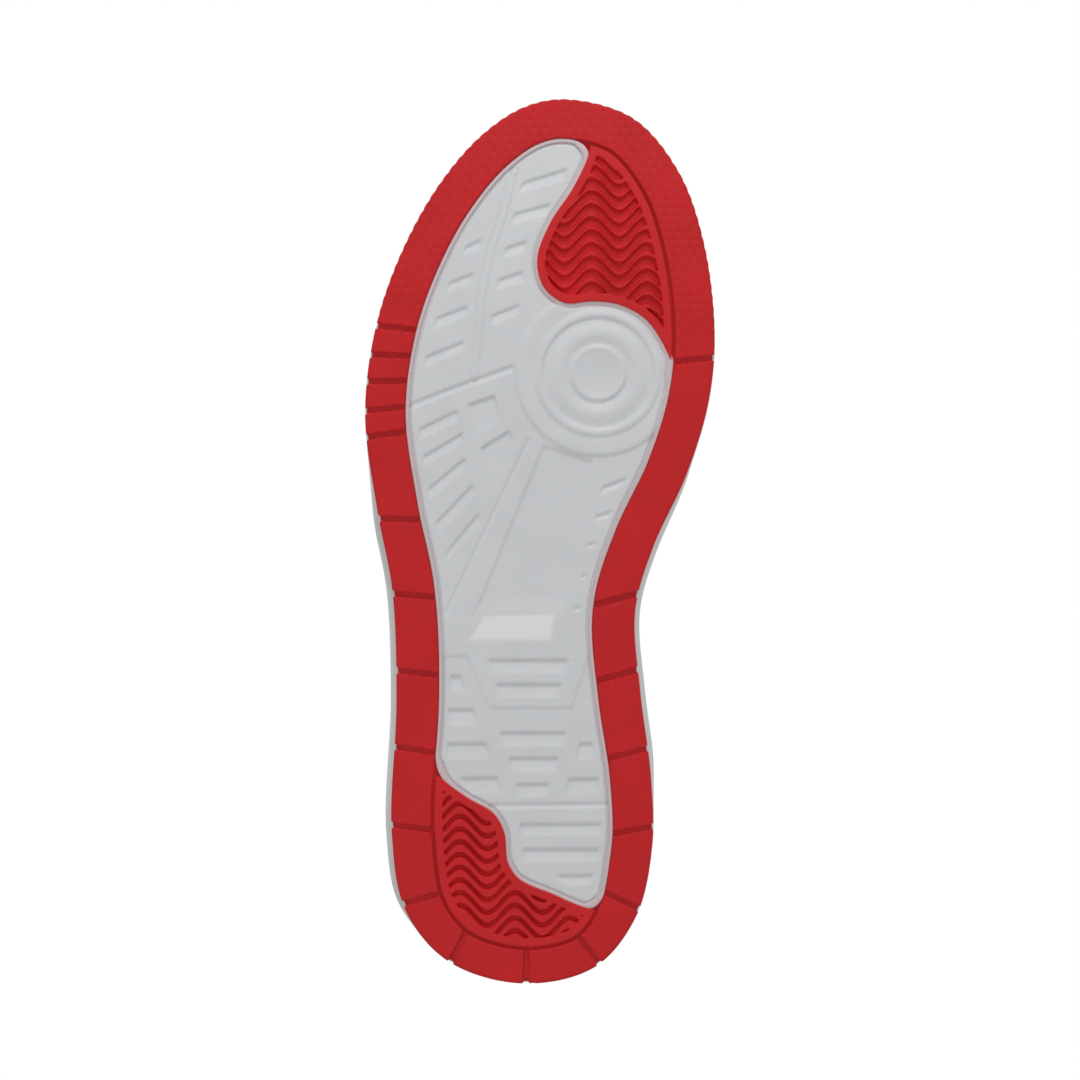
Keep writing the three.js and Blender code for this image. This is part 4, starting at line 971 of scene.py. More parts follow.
def bulge(s):
    """How far the foam stands proud of the rubber: most at the waist, and hardly at the ends."""
    x, y = edge_point(s).T
    end = np.where(x > 0, smoothstep(y, *INNER_BULGE_END), smoothstep(y, *BULGE_END))
    sides = smoothstep(y, *BULGE_START) * (1 - end)
    return FOAM_REST + np.where(x > 0, INNER_BULGE, FOAM_BULGE) * sides


def ring_places(half):
    """Places round the shoe, the same on both sides."""
    up = np.linspace(0, 1, half + 1)
    return np.concatenate([up, -up[1:-1][::-1]])


def ladder(first, half, up):
    """Closes a loop of ring places with rungs from side to side."""
    count = 2 * half
    faces = []
    for k in range(half):
        a, b = k, k + 1
        c, d = count - k - 1, (count - k) % count
        face = [a, b, c, d] if k not in (0, half - 1) else ([a, b, c] if k == 0 else [a, b, d])
        faces.append(tuple(first + i for i in (face if up else reversed(face))))
    return faces


def ring_stack(loops):
    """A closed solid of loops of ring places, one over the other."""
    points, faces = loft(loops, False)
    half = len(loops[0]) // 2
    return points, faces + ladder(0, half, False) + ladder((len(loops) - 1) * 2 * half, half, True)


def midsole_mesh():
    """The foam cup: up round the rubber, out in a bulge, over its rim and down inside to its floor."""
    s = ring_places(CUP_TURNS)
    y = edge_point(s)[:, 1]
    inside, over, top, out = RIM_WALL + 2 * GAP, bumper_z(y) + GAP, cup_top(y), bulge(s)
    section = [(-inside, RUBBER + GAP), (-inside, over), (-0.6 + 0 * y, over)]
    heights = (0, 0.14, 0.42, 0.7, 1)
    bends = np.column_stack([-0.3 + 0 * y, 0.55 * out, out, 0.86 * out, 0.55 * out - 0.4])
    shares = np.linspace(0, 1, 23)
    offsets = np.array([np.interp(shares, heights, bend) for bend in bends])
    smooth = np.apply_along_axis(
        lambda row: np.convolve(np.pad(row, 2, mode="edge"), [0.1, 0.2, 0.4, 0.2, 0.1], "valid"), 1, offsets)
    for k, share in enumerate(shares):
        z = lerp(over + 0.15, top - 1.3, share)
        line = 0.7 * (1 - smoothstep(np.abs(share - 0.80), 0.0, 0.05))  # a moulded line under the top edge
        section.append((smooth[:, k] - line, z))
    rim = smooth[:, -1]
    section += [(rim - 0.15, top - 0.6), (rim - 0.55, top - 0.12), (rim - 1.1, top), (-CUP_WALL + 0.5, top),
                (-CUP_WALL + 0 * y, top - 0.5), (-CUP_WALL + 0 * y, floor_level(y))]
    loops = []
    for offset, z in section:
        flat = rim_point(s, offset + 0 * y)
        loops.append(np.column_stack([flat, z + spring(flat[:, 1])]))
    return ring_stack(loops)


# ---- Upper ----
def last_point(s, t):
    """The inside of the upper: s as on the rim, t from 0 at the sole to 1 on the crest line."""
    base = rim_point(s, -BASE_INSET)
    base_z = floor_level(base[..., 1]) + spring(base[..., 1]) + UPPER_LIFT
    base = np.concatenate([base, base_z[..., None]], -1)
    crest = spline(SPINE, np.abs(s), power=0)
    angle = np.clip(t, 0, 1) * np.pi / 2
    inward = (1 - np.clip(np.cos(angle), 0, 1) ** ROUNDNESS)[..., None]
    upward = (np.sin(angle) ** ROUNDNESS)[..., None]
    share = np.concatenate([inward, inward, upward], -1)
    place = lerp(base, crest, share)
    away = ((place[..., 0] - SPINE[0][0]) / 14) ** 2 + ((place[..., 1] - SPINE[0][1]) / 8.5) ** 2
    place[..., 2] += TOE_CROWN * np.exp(-away)
    return place


def unit(v):
    return v / np.maximum(np.linalg.norm(v, axis=-1, keepdims=True), 1e-9)


def last_normal(s, t):
    """The way out from the foot's space; at the crest, midway between its two sides."""
    near = 0.96

    def at(place, height):
        run = last_point(wrap(place + 0.008), height) - last_point(wrap(place - 0.008), height)
        return unit(np.cross(run, last_point(place, height + 0.01) - last_point(place, height - 0.01)))

    low = np.clip(t, 0.02, near)
    here = at(s, low)
    share = np.clip((t - near) / (1 - near), 0, 1)[..., None]
    return unit(lerp(here, (here + at(-s, low)) / 2, share))


def upper_point(s, t, out):
    """A point on the upper, at a distance out from the foot's space."""
    s, t = np.broadcast_arrays(wrap(s), np.asarray(t, float))
    return last_point(s, t) + last_normal(s, t) * np.asarray(out, float)[..., None]


def topline(s):
    """How high the upper reaches: to the crest in front, and to its edge behind."""
    at = np.abs(s)
    return np.where(at <= TOPLINE[0][0], 1, np.clip(through(TOPLINE, at), 0, 1))


def ticks(count, length):
    """Even steps from 0 to 1, with two close ones at each end for a rounded edge."""
    fine = np.array([0.25, 0.65]) / length
    return np.unique(np.concatenate([np.linspace(0, 1, count + 1), fine, 1 - fine]))


def lengths(place, high):
    """About how long and how high a panel is."""
    u = np.linspace(0, 1, 30)
    half = np.full_like(u, 0.5)
    sizes = []
    for across in (place(u, half), place(half, u)):
        out = high(*across, half) if callable(high) else high
        sizes.append(np.linalg.norm(np.diff(upper_point(*across, out), axis=0), axis=1).sum())
    return sizes


def sheet_faces(rows, columns, joined):
    """Faces of a grid's back and front points, closed all round but where its top is joined."""
    shift = rows * columns
    faces = []
    for r in range(rows - 1):
        for c in range(columns - 1):
            a = r * columns + c
            b, d, e = a + 1, a + columns + 1, a + columns
            faces += [(shift + a, shift + b, shift + d, shift + e), (a, e, d, b)]
    for c in range(columns - 1):
        faces.append((c, c + 1, shift + c + 1, shift + c))
        if not (joined[c] and joined[c + 1]):
            a = (rows - 1) * columns + c
            faces.append((shift + a, shift + a + 1, a + 1, a))
    for r in range(rows - 1):
        a, b = r * columns, (r + 1) * columns
        faces.append((b, a, shift + a, shift + b))
        a, b = a + columns - 1, b + columns - 1
        faces.append((a, b, shift + b, shift + a))
    return faces


def shell(place, low, high, step=1.6, fold=0.9, ripple=0.0):
    """A panel with rounded edges: place gives [s, t], and low and high are its distances from the last."""
    long, tall = lengths(place, high)
    u, v = np.meshgrid(ticks(max(4, round(long / step)), long), ticks(max(3, round(tall / step)), tall))
    s, t = place(u, v)
    under = low(s, t, v) if callable(low) else np.full(s.shape, float(low))
    over = high(s, t, v) if callable(high) else np.full(s.shape, float(high))
    base = upper_point(s, t, over)
    reach = []
    for axis in (1, 0):
        gap = np.linalg.norm(np.diff(base, axis=axis), axis=-1)
        pad = [(0, 0), (0, 0)]
        pad[axis] = (1, 0)
        run = np.pad(np.cumsum(gap, axis=axis), pad)
        whole = run[:, -1:] if axis == 1 else run[-1:, :]
        reach += [run, whole - run]
    reach[3] = np.where(t[-1:] >= 1 - 1e-9, 99, reach[3])
    depth = np.minimum.reduce(reach)
    over = over - (over - under) * 0.8 * round_over(depth, fold)
    if ripple:
        x, y, z = np.moveaxis(base, -1, 0)
        wave = np.sin(x * 0.31 + 1.3 * np.sin(y * 0.11)) * np.sin(z * 0.27 + 0.8)
        over = over + ripple * wave * smoothstep(depth, 1, 8)
    rows, columns = s.shape
    points = np.vstack([upper_point(s, t, under).reshape(-1, 3), upper_point(s, t, over).reshape(-1, 3)])
    return points, sheet_faces(rows, columns, t[-1] >= 1 - 1e-9)


def seam_line(place, out, inset, sides="lrt"):
    """A stitch line inside a panel's edge, along its left, right, top and bottom as asked."""
    long, tall = lengths(place, out)
    a, b = inset / long, inset / tall
    n = np.linspace(0, 1, 90)
    u, v = lerp(a, 1 - a, n), lerp(b, 1 - b, n)
    ways = {"l": (a + 0 * n, v), "r": (1 - a + 0 * n, v), "t": (u, 1 - b + 0 * n), "b": (u, b + 0 * n)}
    lines = []
    for side in sides:
        s, t = place(*ways[side])
        level = out(s, t, ways[side][1]) if callable(out) else out
        lines.append(upper_point(s, t, level + STITCH_LIFT))
    return lines


def seam(v):
    """Where the quarter meets the vamp, further back towards the crest."""
    return lerp(*SEAM, v)


# A panel's place turns u along it and v up it into a place round the shoe and a share of the way to the crest.
def vamp_place(u, v):
    s = lerp(-seam(v), seam(v), u)
    return s, topline(s) * v


def quarter_place(side):
    def place(u, v):
        start = seam(v) - FLAP / SIDE_LENGTH
        end = 1 - 0.3 / SIDE_LENGTH
        s = lerp(start, end, u) if side > 0 else lerp(-end, -start, u)
        return s, topline(s) * v
    return place


def quarter_level(low, rise):
    """The quarter's front edge laps over the vamp, and drops to the vamp's level behind the seam."""
    def level(s, t, v):
        past = (np.abs(s) - seam(v)) * SIDE_LENGTH
        return low + rise * (1 - smoothstep(past, 0.8, 5))
    return level


def eyestay_place(side):
    def place(u, v):
        at = lerp(*EYESTAY_SPAN[::side], u)
        return side * at, topline(at) - EYESTAY_DROP * (1 - v) - 0.008
    return place


def toe_cap_place(u, v):
    s = lerp(-CAP_HALF, CAP_HALF, u)
    return s, (0.3 + 0.26 * np.clip(np.cos(np.pi * s / (2 * CAP_HALF)), 0, 1) ** 0.8) * v


def counter_place(u, v):
    s = lerp(1 - COUNTER_HALF, 1 + COUNTER_HALF, u)
    near = np.clip(1 - np.abs(s - 1) / COUNTER_HALF, 0, 1)
    return s, (0.07 + 0.085 * np.sqrt(near)) * v


def heel_patch_place(u, v):
    half = lerp(0.03, 0.045, v)
    return lerp(1 - half, 1 + half, u), lerp(0.165, 0.235, v)


def stripe_place(side, start, length, shift):
    def place(u, v):
        at = lerp(start, start + length, u) if side > 0 else lerp(start + length, start, u)
        run = (at - start) / STRIPE_RUN
        middle = 0.08 + shift + 0.24 * np.clip(run, 0, 1) ** 1.3
        return side * at, middle + 0.04 * (2 * v - 1) * (0.5 + 0.5 * run)
    return place


def lining_top(s):
    at = np.abs(wrap(s))
    collar = smoothstep(at, 0.61, 0.66)
    return topline(at) - 0.25 * (1 - collar) + 0.012 * collar


def lining_place(u, v):
    s = lerp(LINING_START, 2 - LINING_START, u)
    return s, lining_top(s) * v


def collar_place(u, v):
    s = lerp(COLLAR_START, 2 - COLLAR_START, u)
    return s, lining_top(s) * lerp(0.56, 1.0, v)


def arch_sheet(start, end, edge, low, high, columns, rows, crown=0.03):
    """A sheet across the crest line, thinned round its edges."""
    c, r = np.meshgrid(np.linspace(-1, 1, columns + 1), np.linspace(0, 1, rows + 1))
    at = lerp(start, end, r) + crown * (1 - c * c) * r
    s, t = np.where(c < 0, -at, at), 1 - (1 - edge) * np.abs(c)
    round_off = np.clip(np.minimum.reduce([(1 - np.abs(c)) * 8, r * rows / 3, (1 - r) * rows / 3]), 0, 1)
    swell = np.sqrt(np.clip(1 - (1 - round_off) ** 2, 0, 1))
    middle = (low + high) / 2
    half = (high - low) / 2 * lerp(0.45, 1, swell)
    points = np.vstack([
        upper_point(s, t, middle - half).reshape(-1, 3), upper_point(s, t, middle + half).reshape(-1, 3)])
    return points, sheet_faces(rows + 1, columns + 1, np.zeros(columns + 1, bool))


def apply_modifiers(made):
    """Turns what the modifiers give into the piece's own mesh."""
    graph = bpy.context.evaluated_depsgraph_get()
    mesh = bpy.data.meshes.new_from_object(made.evaluated_get(graph))
    made.modifiers.clear()
    old, made.data = made.data, mesh
    bpy.data.meshes.remove(old)


def inflate(made, voxel, pressure, reach):
    """Swells a pad as cloth under pressure, and stops each point at its reach in millimetres."""
    scene = bpy.context.scene
    remesh = made.modifiers.new("remesh", "REMESH")
    remesh.mode, remesh.voxel_size = "VOXEL", voxel * MM
    apply_modifiers(made)
    count = len(made.data.vertices)
    start = np.zeros(count * 3)
    made.data.vertices.foreach_get("co", start)
    cloth = made.modifiers.new("cloth", "CLOTH")
    cloth.settings.quality = 6
    cloth.settings.mass = 0.2
    cloth.settings.tension_stiffness = cloth.settings.compression_stiffness = 12
    cloth.settings.bending_stiffness = 0.6
    cloth.settings.use_pressure = True
    cloth.settings.uniform_pressure_force = pressure
    cloth.settings.effector_weights.gravity = 0
    cloth.point_cache.frame_start, cloth.point_cache.frame_end = 1, 20
    for step in range(1, 21):
        scene.frame_set(step)
    blown = made.evaluated_get(bpy.context.evaluated_depsgraph_get()).to_mesh()
    end = np.zeros(count * 3)
    blown.vertices.foreach_get("co", end)
    made.modifiers.clear()
    scene.frame_set(1)
    move = (end - start).reshape(-1, 3)
    far = np.linalg.norm(move, axis=1, keepdims=True)
    move *= np.minimum(1, reach * MM / np.maximum(far, 1e-9))
    made.data.vertices.foreach_set("co", (start.reshape(-1, 3) + move).ravel())
    smooth = made.modifiers.new("smooth", "SUBSURF")
    smooth.levels = smooth.render_levels = 1
    apply_modifiers(made)


def sweep(path, aim, half_wide, half_thick, sides=14, square=2.0):
    """A band or rod along a path: aim is its width's direction at each point, square above 2 flattens it."""
    run = unit(np.gradient(path, axis=0))
    wide = unit(aim - np.sum(aim * run, axis=1, keepdims=True) * run)
    thick = np.cross(run, wide)
    angle = np.arange(sides) * 2 * np.pi / sides
    x = np.sign(np.cos(angle)) * np.abs(np.cos(angle)) ** (2 / square)
    y = np.sign(np.sin(angle)) * np.abs(np.sin(angle)) ** (2 / square)
    flat = np.zeros(len(path))
    rings = [
        p + np.outer(x * w, a) + np.outer(y * h, b)
        for p, a, b, w, h in zip(path, wide, thick, half_wide + flat, half_thick + flat)
    ]
    points, faces = loft(rings, False)
    last = (len(rings) - 1) * sides
    return points, faces + [tuple(reversed(range(sides))), tuple(last + k for k in range(sides))]


eyelet_places = [
    (at, min(float(topline(at)), 0.87) - 0.06) for at in np.linspace(*EYELET_SPAN, EYELETS)
]


def eyelet_mesh(side, i):
    """A rolled eyelet, spun about the leather's normal."""
    at, t = eyelet_places[i]
    s, t = np.array(side * at), np.array(t)
    axis = last_normal(s, t)
    centre = last_point(s, t)
    aside = unit(np.cross(axis, (0, 1, 0)))
    other = np.cross(axis, aside)
    top = FLANGE_AT + 0.8
    section = [(EYELET_BORE, LEATHER_AT - 0.4), (3, LEATHER_AT - 0.4), (3, FLANGE_AT), (4.2, FLANGE_AT)]
    section += [
        (3.35 + 1.05 * math.cos(a), FLANGE_AT + 0.1 + 0.7 * math.sin(a)) for a in np.linspace(0.1, 2.9, 9)
    ]
    section += [(EYELET_BORE, top - 0.5)]
    turn = np.linspace(0, 2 * np.pi, 28, endpoint=False)
    spin = np.outer(np.cos(turn), aside) + np.outer(np.sin(turn), other)
    loops = [centre + spin * r + axis * z for r, z in section]
    return loft(loops)


def lace_stops():
    """The lace's route: place, height, distance from the last and half width at each stop."""
    under, above, lane = 1, FLANGE_AT + 0.8 + LACE_RADIUS + 0.5, 0.68 - 0.055
    turn = EYELET_BORE + 0.5
    stops = [(-0.6, 0.42, -3.8, 1.5), (-0.598, 0.52, -1.9, 2), (-0.59, lane, under - 0.4, 2)]
    stops += [(-at, lane, under, 2) for at in (0.56, 0.52, 0.48, 0.45)]
    for i, (at, t) in enumerate(eyelet_places):
        for side in (-1, 1):
            feet = upper_point(np.full(2, side * at), np.array([t, t + 0.01]), 0)
            share = 0.01 * turn / np.linalg.norm(feet[1] - feet[0])
            hole = [(under, 0, 1.5), (LEATHER_AT + 1.5, 0, 1.5), (above - 1.4, 0, 1.7), (above, share, 3.0)]
            steps = hole if side < 0 else hole[::-1]
            stops += [(side * at, t + inward, out, wide) for out, inward, wide in steps]
        if i == EYELETS - 1:
            continue
        after = eyelet_places[i + 1][0]
        for share in (0.2, 0.4):
            stops.append((lerp(at, after, share), lerp(0.78, 1, share * 2), under, 2))
        stops.append((lerp(at, after, 0.5), 1, under, 2))
        for share in (0.6, 0.8):
            stops.append((-lerp(at, after, share), lerp(1, 0.78, share * 2 - 1), under, 2))
    return stops + [(0.6, lane, under - 0.4, 2), (0.602, 0.52, -1.9, 2), (0.604, 0.42, -3.8, 1.5)]


def lace_path():
    """The lace's middle line, the way its width faces and its half width, all along it."""
    stops = np.array(lace_stops())
    s, t = stops[:, 0], stops[:, 1]
    points = upper_point(s, t, stops[:, 2])
    along = unit(last_point(np.abs(s) + 0.01, t) - last_point(np.abs(s) - 0.01, t))
    normal = last_normal(s, t)
    u = np.linspace(0, 1, LACE_STEPS)
    at = u * (len(stops) - 1)
    index = np.arange(len(stops))

    def read(values):
        return np.stack([np.interp(at, index, values[:, k]) for k in range(values.shape[1])], -1)

    path = spline(points, u)
    run = unit(np.gradient(path, axis=0))
    along, normal = unit(read(along)), unit(read(normal))
    first = along - np.sum(along * run, axis=1, keepdims=True) * run
    second = np.cross(normal, run)
    aim, before = [], None
    for a, b in zip(first, second):
        b = b if a @ b >= 0 else -b
        whole = a + b
        if before is not None and whole @ before < 0:
            whole = -whole
        before = whole / max(np.linalg.norm(whole), 1e-9)
        aim.append(before)
    wide = np.interp(at, index, stops[:, 3])
    return path, np.array(aim), wide


def pull_loop_path():
    """Up the heel's outside, over and down inside the collar."""
    outside = upper_point(1.0, 0.25, LEATHER_AT + LEATHER + LOOP_WEBBING / 2 + 1.2)
    inside = upper_point(1.0, 0.25, -COLLAR_PAD - LOOP_WEBBING - 0.8)
    crown = outside[2] + LOOP_HEIGHT
    middle = (outside[1] + inside[1]) / 2
    x = outside[0]
    stops = [
        outside, (x, outside[1] - 0.4, lerp(outside[2], crown, 0.6)),
        (x, lerp(outside[1], middle, 0.5), crown - 1.5), (x, lerp(inside[1], middle, 0.5), crown - 1.5),
        (x, inside[1], lerp(inside[2], crown, 0.6)), (x, inside[1], inside[2]),
    ]
    return spline(np.array(stops, float), np.linspace(0, 1, 60))


def slab_mesh(inset, low, high, dish=0.0, round_edge=0.6):
    """A sheet that follows the floor inside the shoe, dished up towards its edge."""
    s = ring_places(160)
    section = [(inset + round_edge, low), (inset, low + round_edge), (inset, high - round_edge),
               (inset + 0.3 * round_edge, high - 0.3 * round_edge), (inset + round_edge, high),
               (inset + 4, high - 0.3 * dish), (inset + 9, high - 0.8 * dish), (inset + 15, high - dish)]
    loops = []
    for off, z in section:
        flat = rim_point(s, -off + 0 * s)
        loops.append(np.column_stack([flat, z + floor_level(flat[:, 1]) + spring(flat[:, 1])]))
    return ring_stack(loops)


# ---- Stitches and holes ----
def node_tree(name, sizes):
    """A new Geometry Nodes tree with named float inputs and a material input."""
    tree = bpy.data.node_groups.new(name, "GeometryNodeTree")
    tree.interface.new_socket("Geometry", in_out="INPUT", socket_type="NodeSocketGeometry")
    for label in sizes:
        tree.interface.new_socket(label, in_out="INPUT", socket_type="NodeSocketFloat")
    tree.interface.new_socket("Material", in_out="INPUT", socket_type="NodeSocketMaterial")
    tree.interface.new_socket("Geometry", in_out="OUTPUT", socket_type="NodeSocketGeometry")
    return tree, add(tree, "NodeGroupInput").outputs


def end_tree(tree, given, instances):
    real = add(tree, "GeometryNodeRealizeInstances", {0: instances})
    done = add(tree, "GeometryNodeSetMaterial", {"Geometry": real.outputs[0], "Material": given["Material"]})
    add(tree, "NodeGroupOutput", {0: done.outputs[0]})
    return tree


def stitch_tree():
    """Sets a row of small lozenge stitches along each line."""
    tree, given = node_tree("stitch_row", ("Spacing", "Half length", "Radius"))
    line = add(tree, "GeometryNodeMeshToCurve", {0: given["Geometry"]})
    row = add(tree, "GeometryNodeResampleCurve", {"Curve": line.outputs[0], "Length": given["Spacing"]},
              mode="LENGTH")
    run = add(tree, "GeometryNodeInputTangent")
    turn = add(tree, "FunctionNodeAlignRotationToVector", {"Vector": run.outputs[0]}, axis="X")
    bead = add(tree, "GeometryNodeMeshUVSphere", {"Segments": 6, "Rings": 4, "Radius": 1.0})
    size = add(tree, "ShaderNodeCombineXYZ", {"X": given["Half length"], "Y": given["Radius"],
                                              "Z": given["Radius"]})
    set_down = add(tree, "GeometryNodeInstanceOnPoints", {
        "Points": row.outputs[0], "Instance": bead.outputs[0], "Rotation": turn.outputs[0],
        "Scale": size.outputs[0]})
    return end_tree(tree, given, set_down.outputs[0])


def punch_tree():
    """Sets a small dark cup at each point, turned to the point's aim."""
    tree, given = node_tree("punched_holes", ("Radius", "Depth"))
    aim = add(tree, "GeometryNodeInputNamedAttribute", {"Name": "aim"}, data_type="FLOAT_VECTOR")
    turn = add(tree, "FunctionNodeAlignRotationToVector", {"Vector": aim.outputs[0]}, axis="Z")
    cup = add(tree, "GeometryNodeMeshCylinder", {"Vertices": 10, "Radius": given["Radius"],
                                                 "Depth": given["Depth"]})
    set_down = add(tree, "GeometryNodeInstanceOnPoints", {
        "Points": given["Geometry"], "Instance": cup.outputs[0], "Rotation": turn.outputs[0]})
    return end_tree(tree, given, set_down.outputs[0])


def grow(name, mesh, tree, sizes, material, body, slot):
    """Runs a Geometry Nodes tree on a mesh and keeps its result as a plain mesh."""
    holder = bpy.data.objects.new(name, mesh)
    bpy.context.scene.collection.objects.link(holder)
    nodes = holder.modifiers.new("nodes", "NODES")
    nodes.node_group = tree
    names = {item.name: item.identifier for item in tree.interface.items_tree if item.in_out == "INPUT"}
    for label, value in {**sizes, "Material": material}.items():
        nodes[names[label]] = value
    holder.update_tag()
    apply_modifiers(holder)
    if not holder.data.polygons:
        raise RuntimeError(f"{name}: the node tree gave no faces")
    finish_piece(holder, material, body, slot, ())
    return holder


def stitches(name, lines, material, body="shoe", slot="lace_textile", spacing=3.1):
    points, edges = [], []
    for line in lines:
        first = len(points)
        points += ((np.asarray(line) + ORIGIN) * MM).tolist()
        edges += [(k, k + 1) for k in range(first, len(points) - 1)]
    mesh = bpy.data.meshes.new(name)
    mesh.from_pydata(points, edges, [])
    tree = bpy.data.node_groups.get("stitch_row") or stitch_tree()
    sizes = {"Spacing": spacing * MM, "Half length": STITCH_HALF * MM, "Radius": STITCH_RADIUS * MM}
    return grow(name, mesh, tree, sizes, material, body, slot)


def punched_holes(name, spots, skin, radius, material, body="shoe", slot="white_leather"):
    """Sinks a cup over each spot on the ground into the skin, which is a panel's points and faces."""
    tree = BVHTree.FromPolygons([tuple(p) for p in skin[0]], skin[1])
    places, aims = [], []
    for x, y in spots:
        place, aim, _, _ = tree.ray_cast(Vector((x, y, 400)), Vector((0, 0, -1)))
        aim *= math.copysign(1, aim.z)
        places.append(tuple((np.array(place - aim * HOLE_SINK) + ORIGIN) * MM))
        aims.append(aim[:])
    mesh = bpy.data.meshes.new(name)
    mesh.from_pydata(places, [], [])
    mesh.attributes.new("aim", "FLOAT_VECTOR", "POINT").data.foreach_set("vector", np.ravel(aims))
    tree = bpy.data.node_groups.get("punched_holes") or punch_tree()
    return grow(name, mesh, tree, {"Radius": radius * MM, "Depth": HOLE_DEPTH * MM}, material, body, slot)


# ---- Stage ----
def make_stage():
    scene = bpy.context.scene
    scene.view_settings.view_transform = "Standard"
    low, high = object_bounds()
    middle = (low + high) / 2
    settings = scene.shoe_stage
    camera = bpy.data.objects.new("camera", bpy.data.cameras.new("camera"))
    scene.collection.objects.link(camera)
    scene.camera = camera
    camera.data.lens = camera.data.sensor_width * settings.distance / settings.frame
    camera.data.clip_end = 20
    camera.location = (middle.x, middle.y, low.z - settings.distance)
    camera.rotation_euler = (math.pi, 0, 0)

    world = scene.world or bpy.data.worlds.new("World")
    scene.world = world
    world.use_nodes = True
    tree = world.node_tree
    tree.nodes.clear()
    seen = add(tree, "ShaderNodeLightPath").outputs["Is Camera Ray"]
    strength = add(tree, "ShaderNodeMapRange", {"Value": seen, "To Min": settings.sky, "To Max": 1.0})
    sky = add(tree, "ShaderNodeBackground", {"Color": linear("#FFFFFF"), "Strength": strength.outputs[0]})
    add(tree, "ShaderNodeOutputWorld", {"Surface": sky.outputs[0]})

    for name, place, size, power in (
        ("under_key", (0.1, -1.15, -0.8), 0.7, settings.under_key),
        ("under_fill", (-0.7, 0.7, -1.1), 0.9, settings.under_fill),
        ("top_key", (-0.9, -0.8, 1.3), 0.8, settings.top_key),
        ("top_fill", (1.2, 0.6, 0.9), 1.0, settings.top_fill),
    ):
        lamp = bpy.data.lights.new(name, "AREA")
        lamp.size, lamp.energy = size, power
        holder = bpy.data.objects.new(name, lamp)
        holder.location = place
        holder.rotation_euler = (-Vector(place)).to_track_quat("-Z", "Y").to_euler()
        scene.collection.objects.link(holder)

    made, tree = new_material("pale_studio_floor")
    # The paper sweep can only be seen from above, so that the sole shows from below.
    behind = add(tree, "ShaderNodeNewGeometry").outputs["Backfacing"]
    paper = add(tree, "ShaderNodeTexNoise", {"Scale": 6, "Detail": 2})
    tint = add(tree, "ShaderNodeValToRGB", {"Fac": paper.outputs["Fac"]})
    for element, tone in zip(tint.color_ramp.elements, ("#EDEDEB", "#F1F1EF")):
        element.color = linear(tone)
    matt = add(tree, "ShaderNodeBsdfDiffuse", {"Color": tint.outputs["Color"]})
    clear = add(tree, "ShaderNodeBsdfTransparent")
    both = add(tree, "ShaderNodeMixShader", {0: behind, 1: matt.outputs[0], 2: clear.outputs[0]})
    add(tree, "ShaderNodeOutputMaterial", {"Surface": both.outputs[0]})
    mesh = bpy.data.meshes.new("studio_floor")
    reach, under = 4.0, -0.4 * MM
    mesh.from_pydata([(-reach, -reach, under), (reach, -reach, under), (reach, reach, under),
                      (-reach, reach, under)], [], [(0, 1, 2, 3)])
    mesh.materials.append(made)
    floor = bpy.data.objects.new("studio_floor", mesh)
    scene.collection.objects.link(floor)
    for ray in ("shadow", "diffuse", "glossy", "transmission"):
        setattr(floor, f"visible_{ray}", False)
    floor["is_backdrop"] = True


class StageSettings(bpy.types.PropertyGroup):
    """Camera and light."""

    distance: FloatProperty(name="Camera distance", description="From the sole", default=1.7, unit="LENGTH")
    frame: FloatProperty(name="Frame", description="Width seen at the sole", default=0.365, unit="LENGTH")
    sky: FloatProperty(name="Sky", description="Soft light from all round", default=0.46)
    under_key: FloatProperty(name="Key below", description="Soft light from the toe side", default=7)
    under_fill: FloatProperty(name="Fill below", description="From the heel side", default=2)
    top_key: FloatProperty(name="Key above", description="Soft light on the upper", default=15)
    top_fill: FloatProperty(name="Fill above", description="From the other side", default=6)


class SoleSettings(bpy.types.PropertyGroup):
    """Colours and relief of the sole."""

    rubber: StringProperty(name="Rim", description="sRGB hex", default="#D02428")
    tread: StringProperty(name="Tread pads", description="sRGB hex", default="#D6282B")
    plate: StringProperty(name="Plate", description="sRGB hex", default="#E0E2E4")
    foam: StringProperty(name="Foam", description="sRGB hex", default="#D8D8D7")
    dimple: FloatProperty(name="Dimples", description="Depth in mm round the toe", default=0.19)
    serration: FloatProperty(name="Serration", description="Depth in mm of the toe's side", default=0.22)
    wave: FloatProperty(name="Waves", description="Depth in mm of the tread pads", default=1.8)


class UpperSettings(bpy.types.PropertyGroup):
    """Colours and stitching of the upper."""

    leather: StringProperty(name="Leather", description="sRGB hex", default="#EEEDEA")
    accent: StringProperty(name="Overlays", description="sRGB hex", default="#B52D32")
    thread: StringProperty(name="Thread", description="sRGB hex", default="#F4F3EF")
    textile: StringProperty(name="Lining and loop", description="sRGB hex", default="#AA2C2F")
    lace: StringProperty(name="Lace", description="sRGB hex", default="#E7E6E2")
    stitch: FloatProperty(name="Stitch spacing", description="In mm", default=3.1)
    hole: FloatProperty(name="Punched holes", description="Radius in mm", default=0.75)


class SHOE_OT_stage(bpy.types.Operator):
    """Sets the camera, the lights and the floor"""

    bl_idname = "shoe.stage"
    bl_label = "Stage"

    def execute(self, context):
        make_stage()
        return {"FINISHED"}


class SHOE_OT_rim(bpy.types.Operator):
    """Makes the slotted rubber rim"""

    bl_idname = "shoe.rim"
    bl_label = "Rubber rim"

    def execute(self, context):
        sole = context.scene.shoe_sole
        points, faces = rim_mesh(sole.dimple, sole.serration)
        made = piece("rubber_rim", points, faces, moulded_rubber("moulded_red_rubber", sole.rubber),
                     slot="red_rubber", nodes=["outsole_rim"])
        made.visible_diffuse = False  # so that it throws no red on the floor
        return {"FINISHED"}


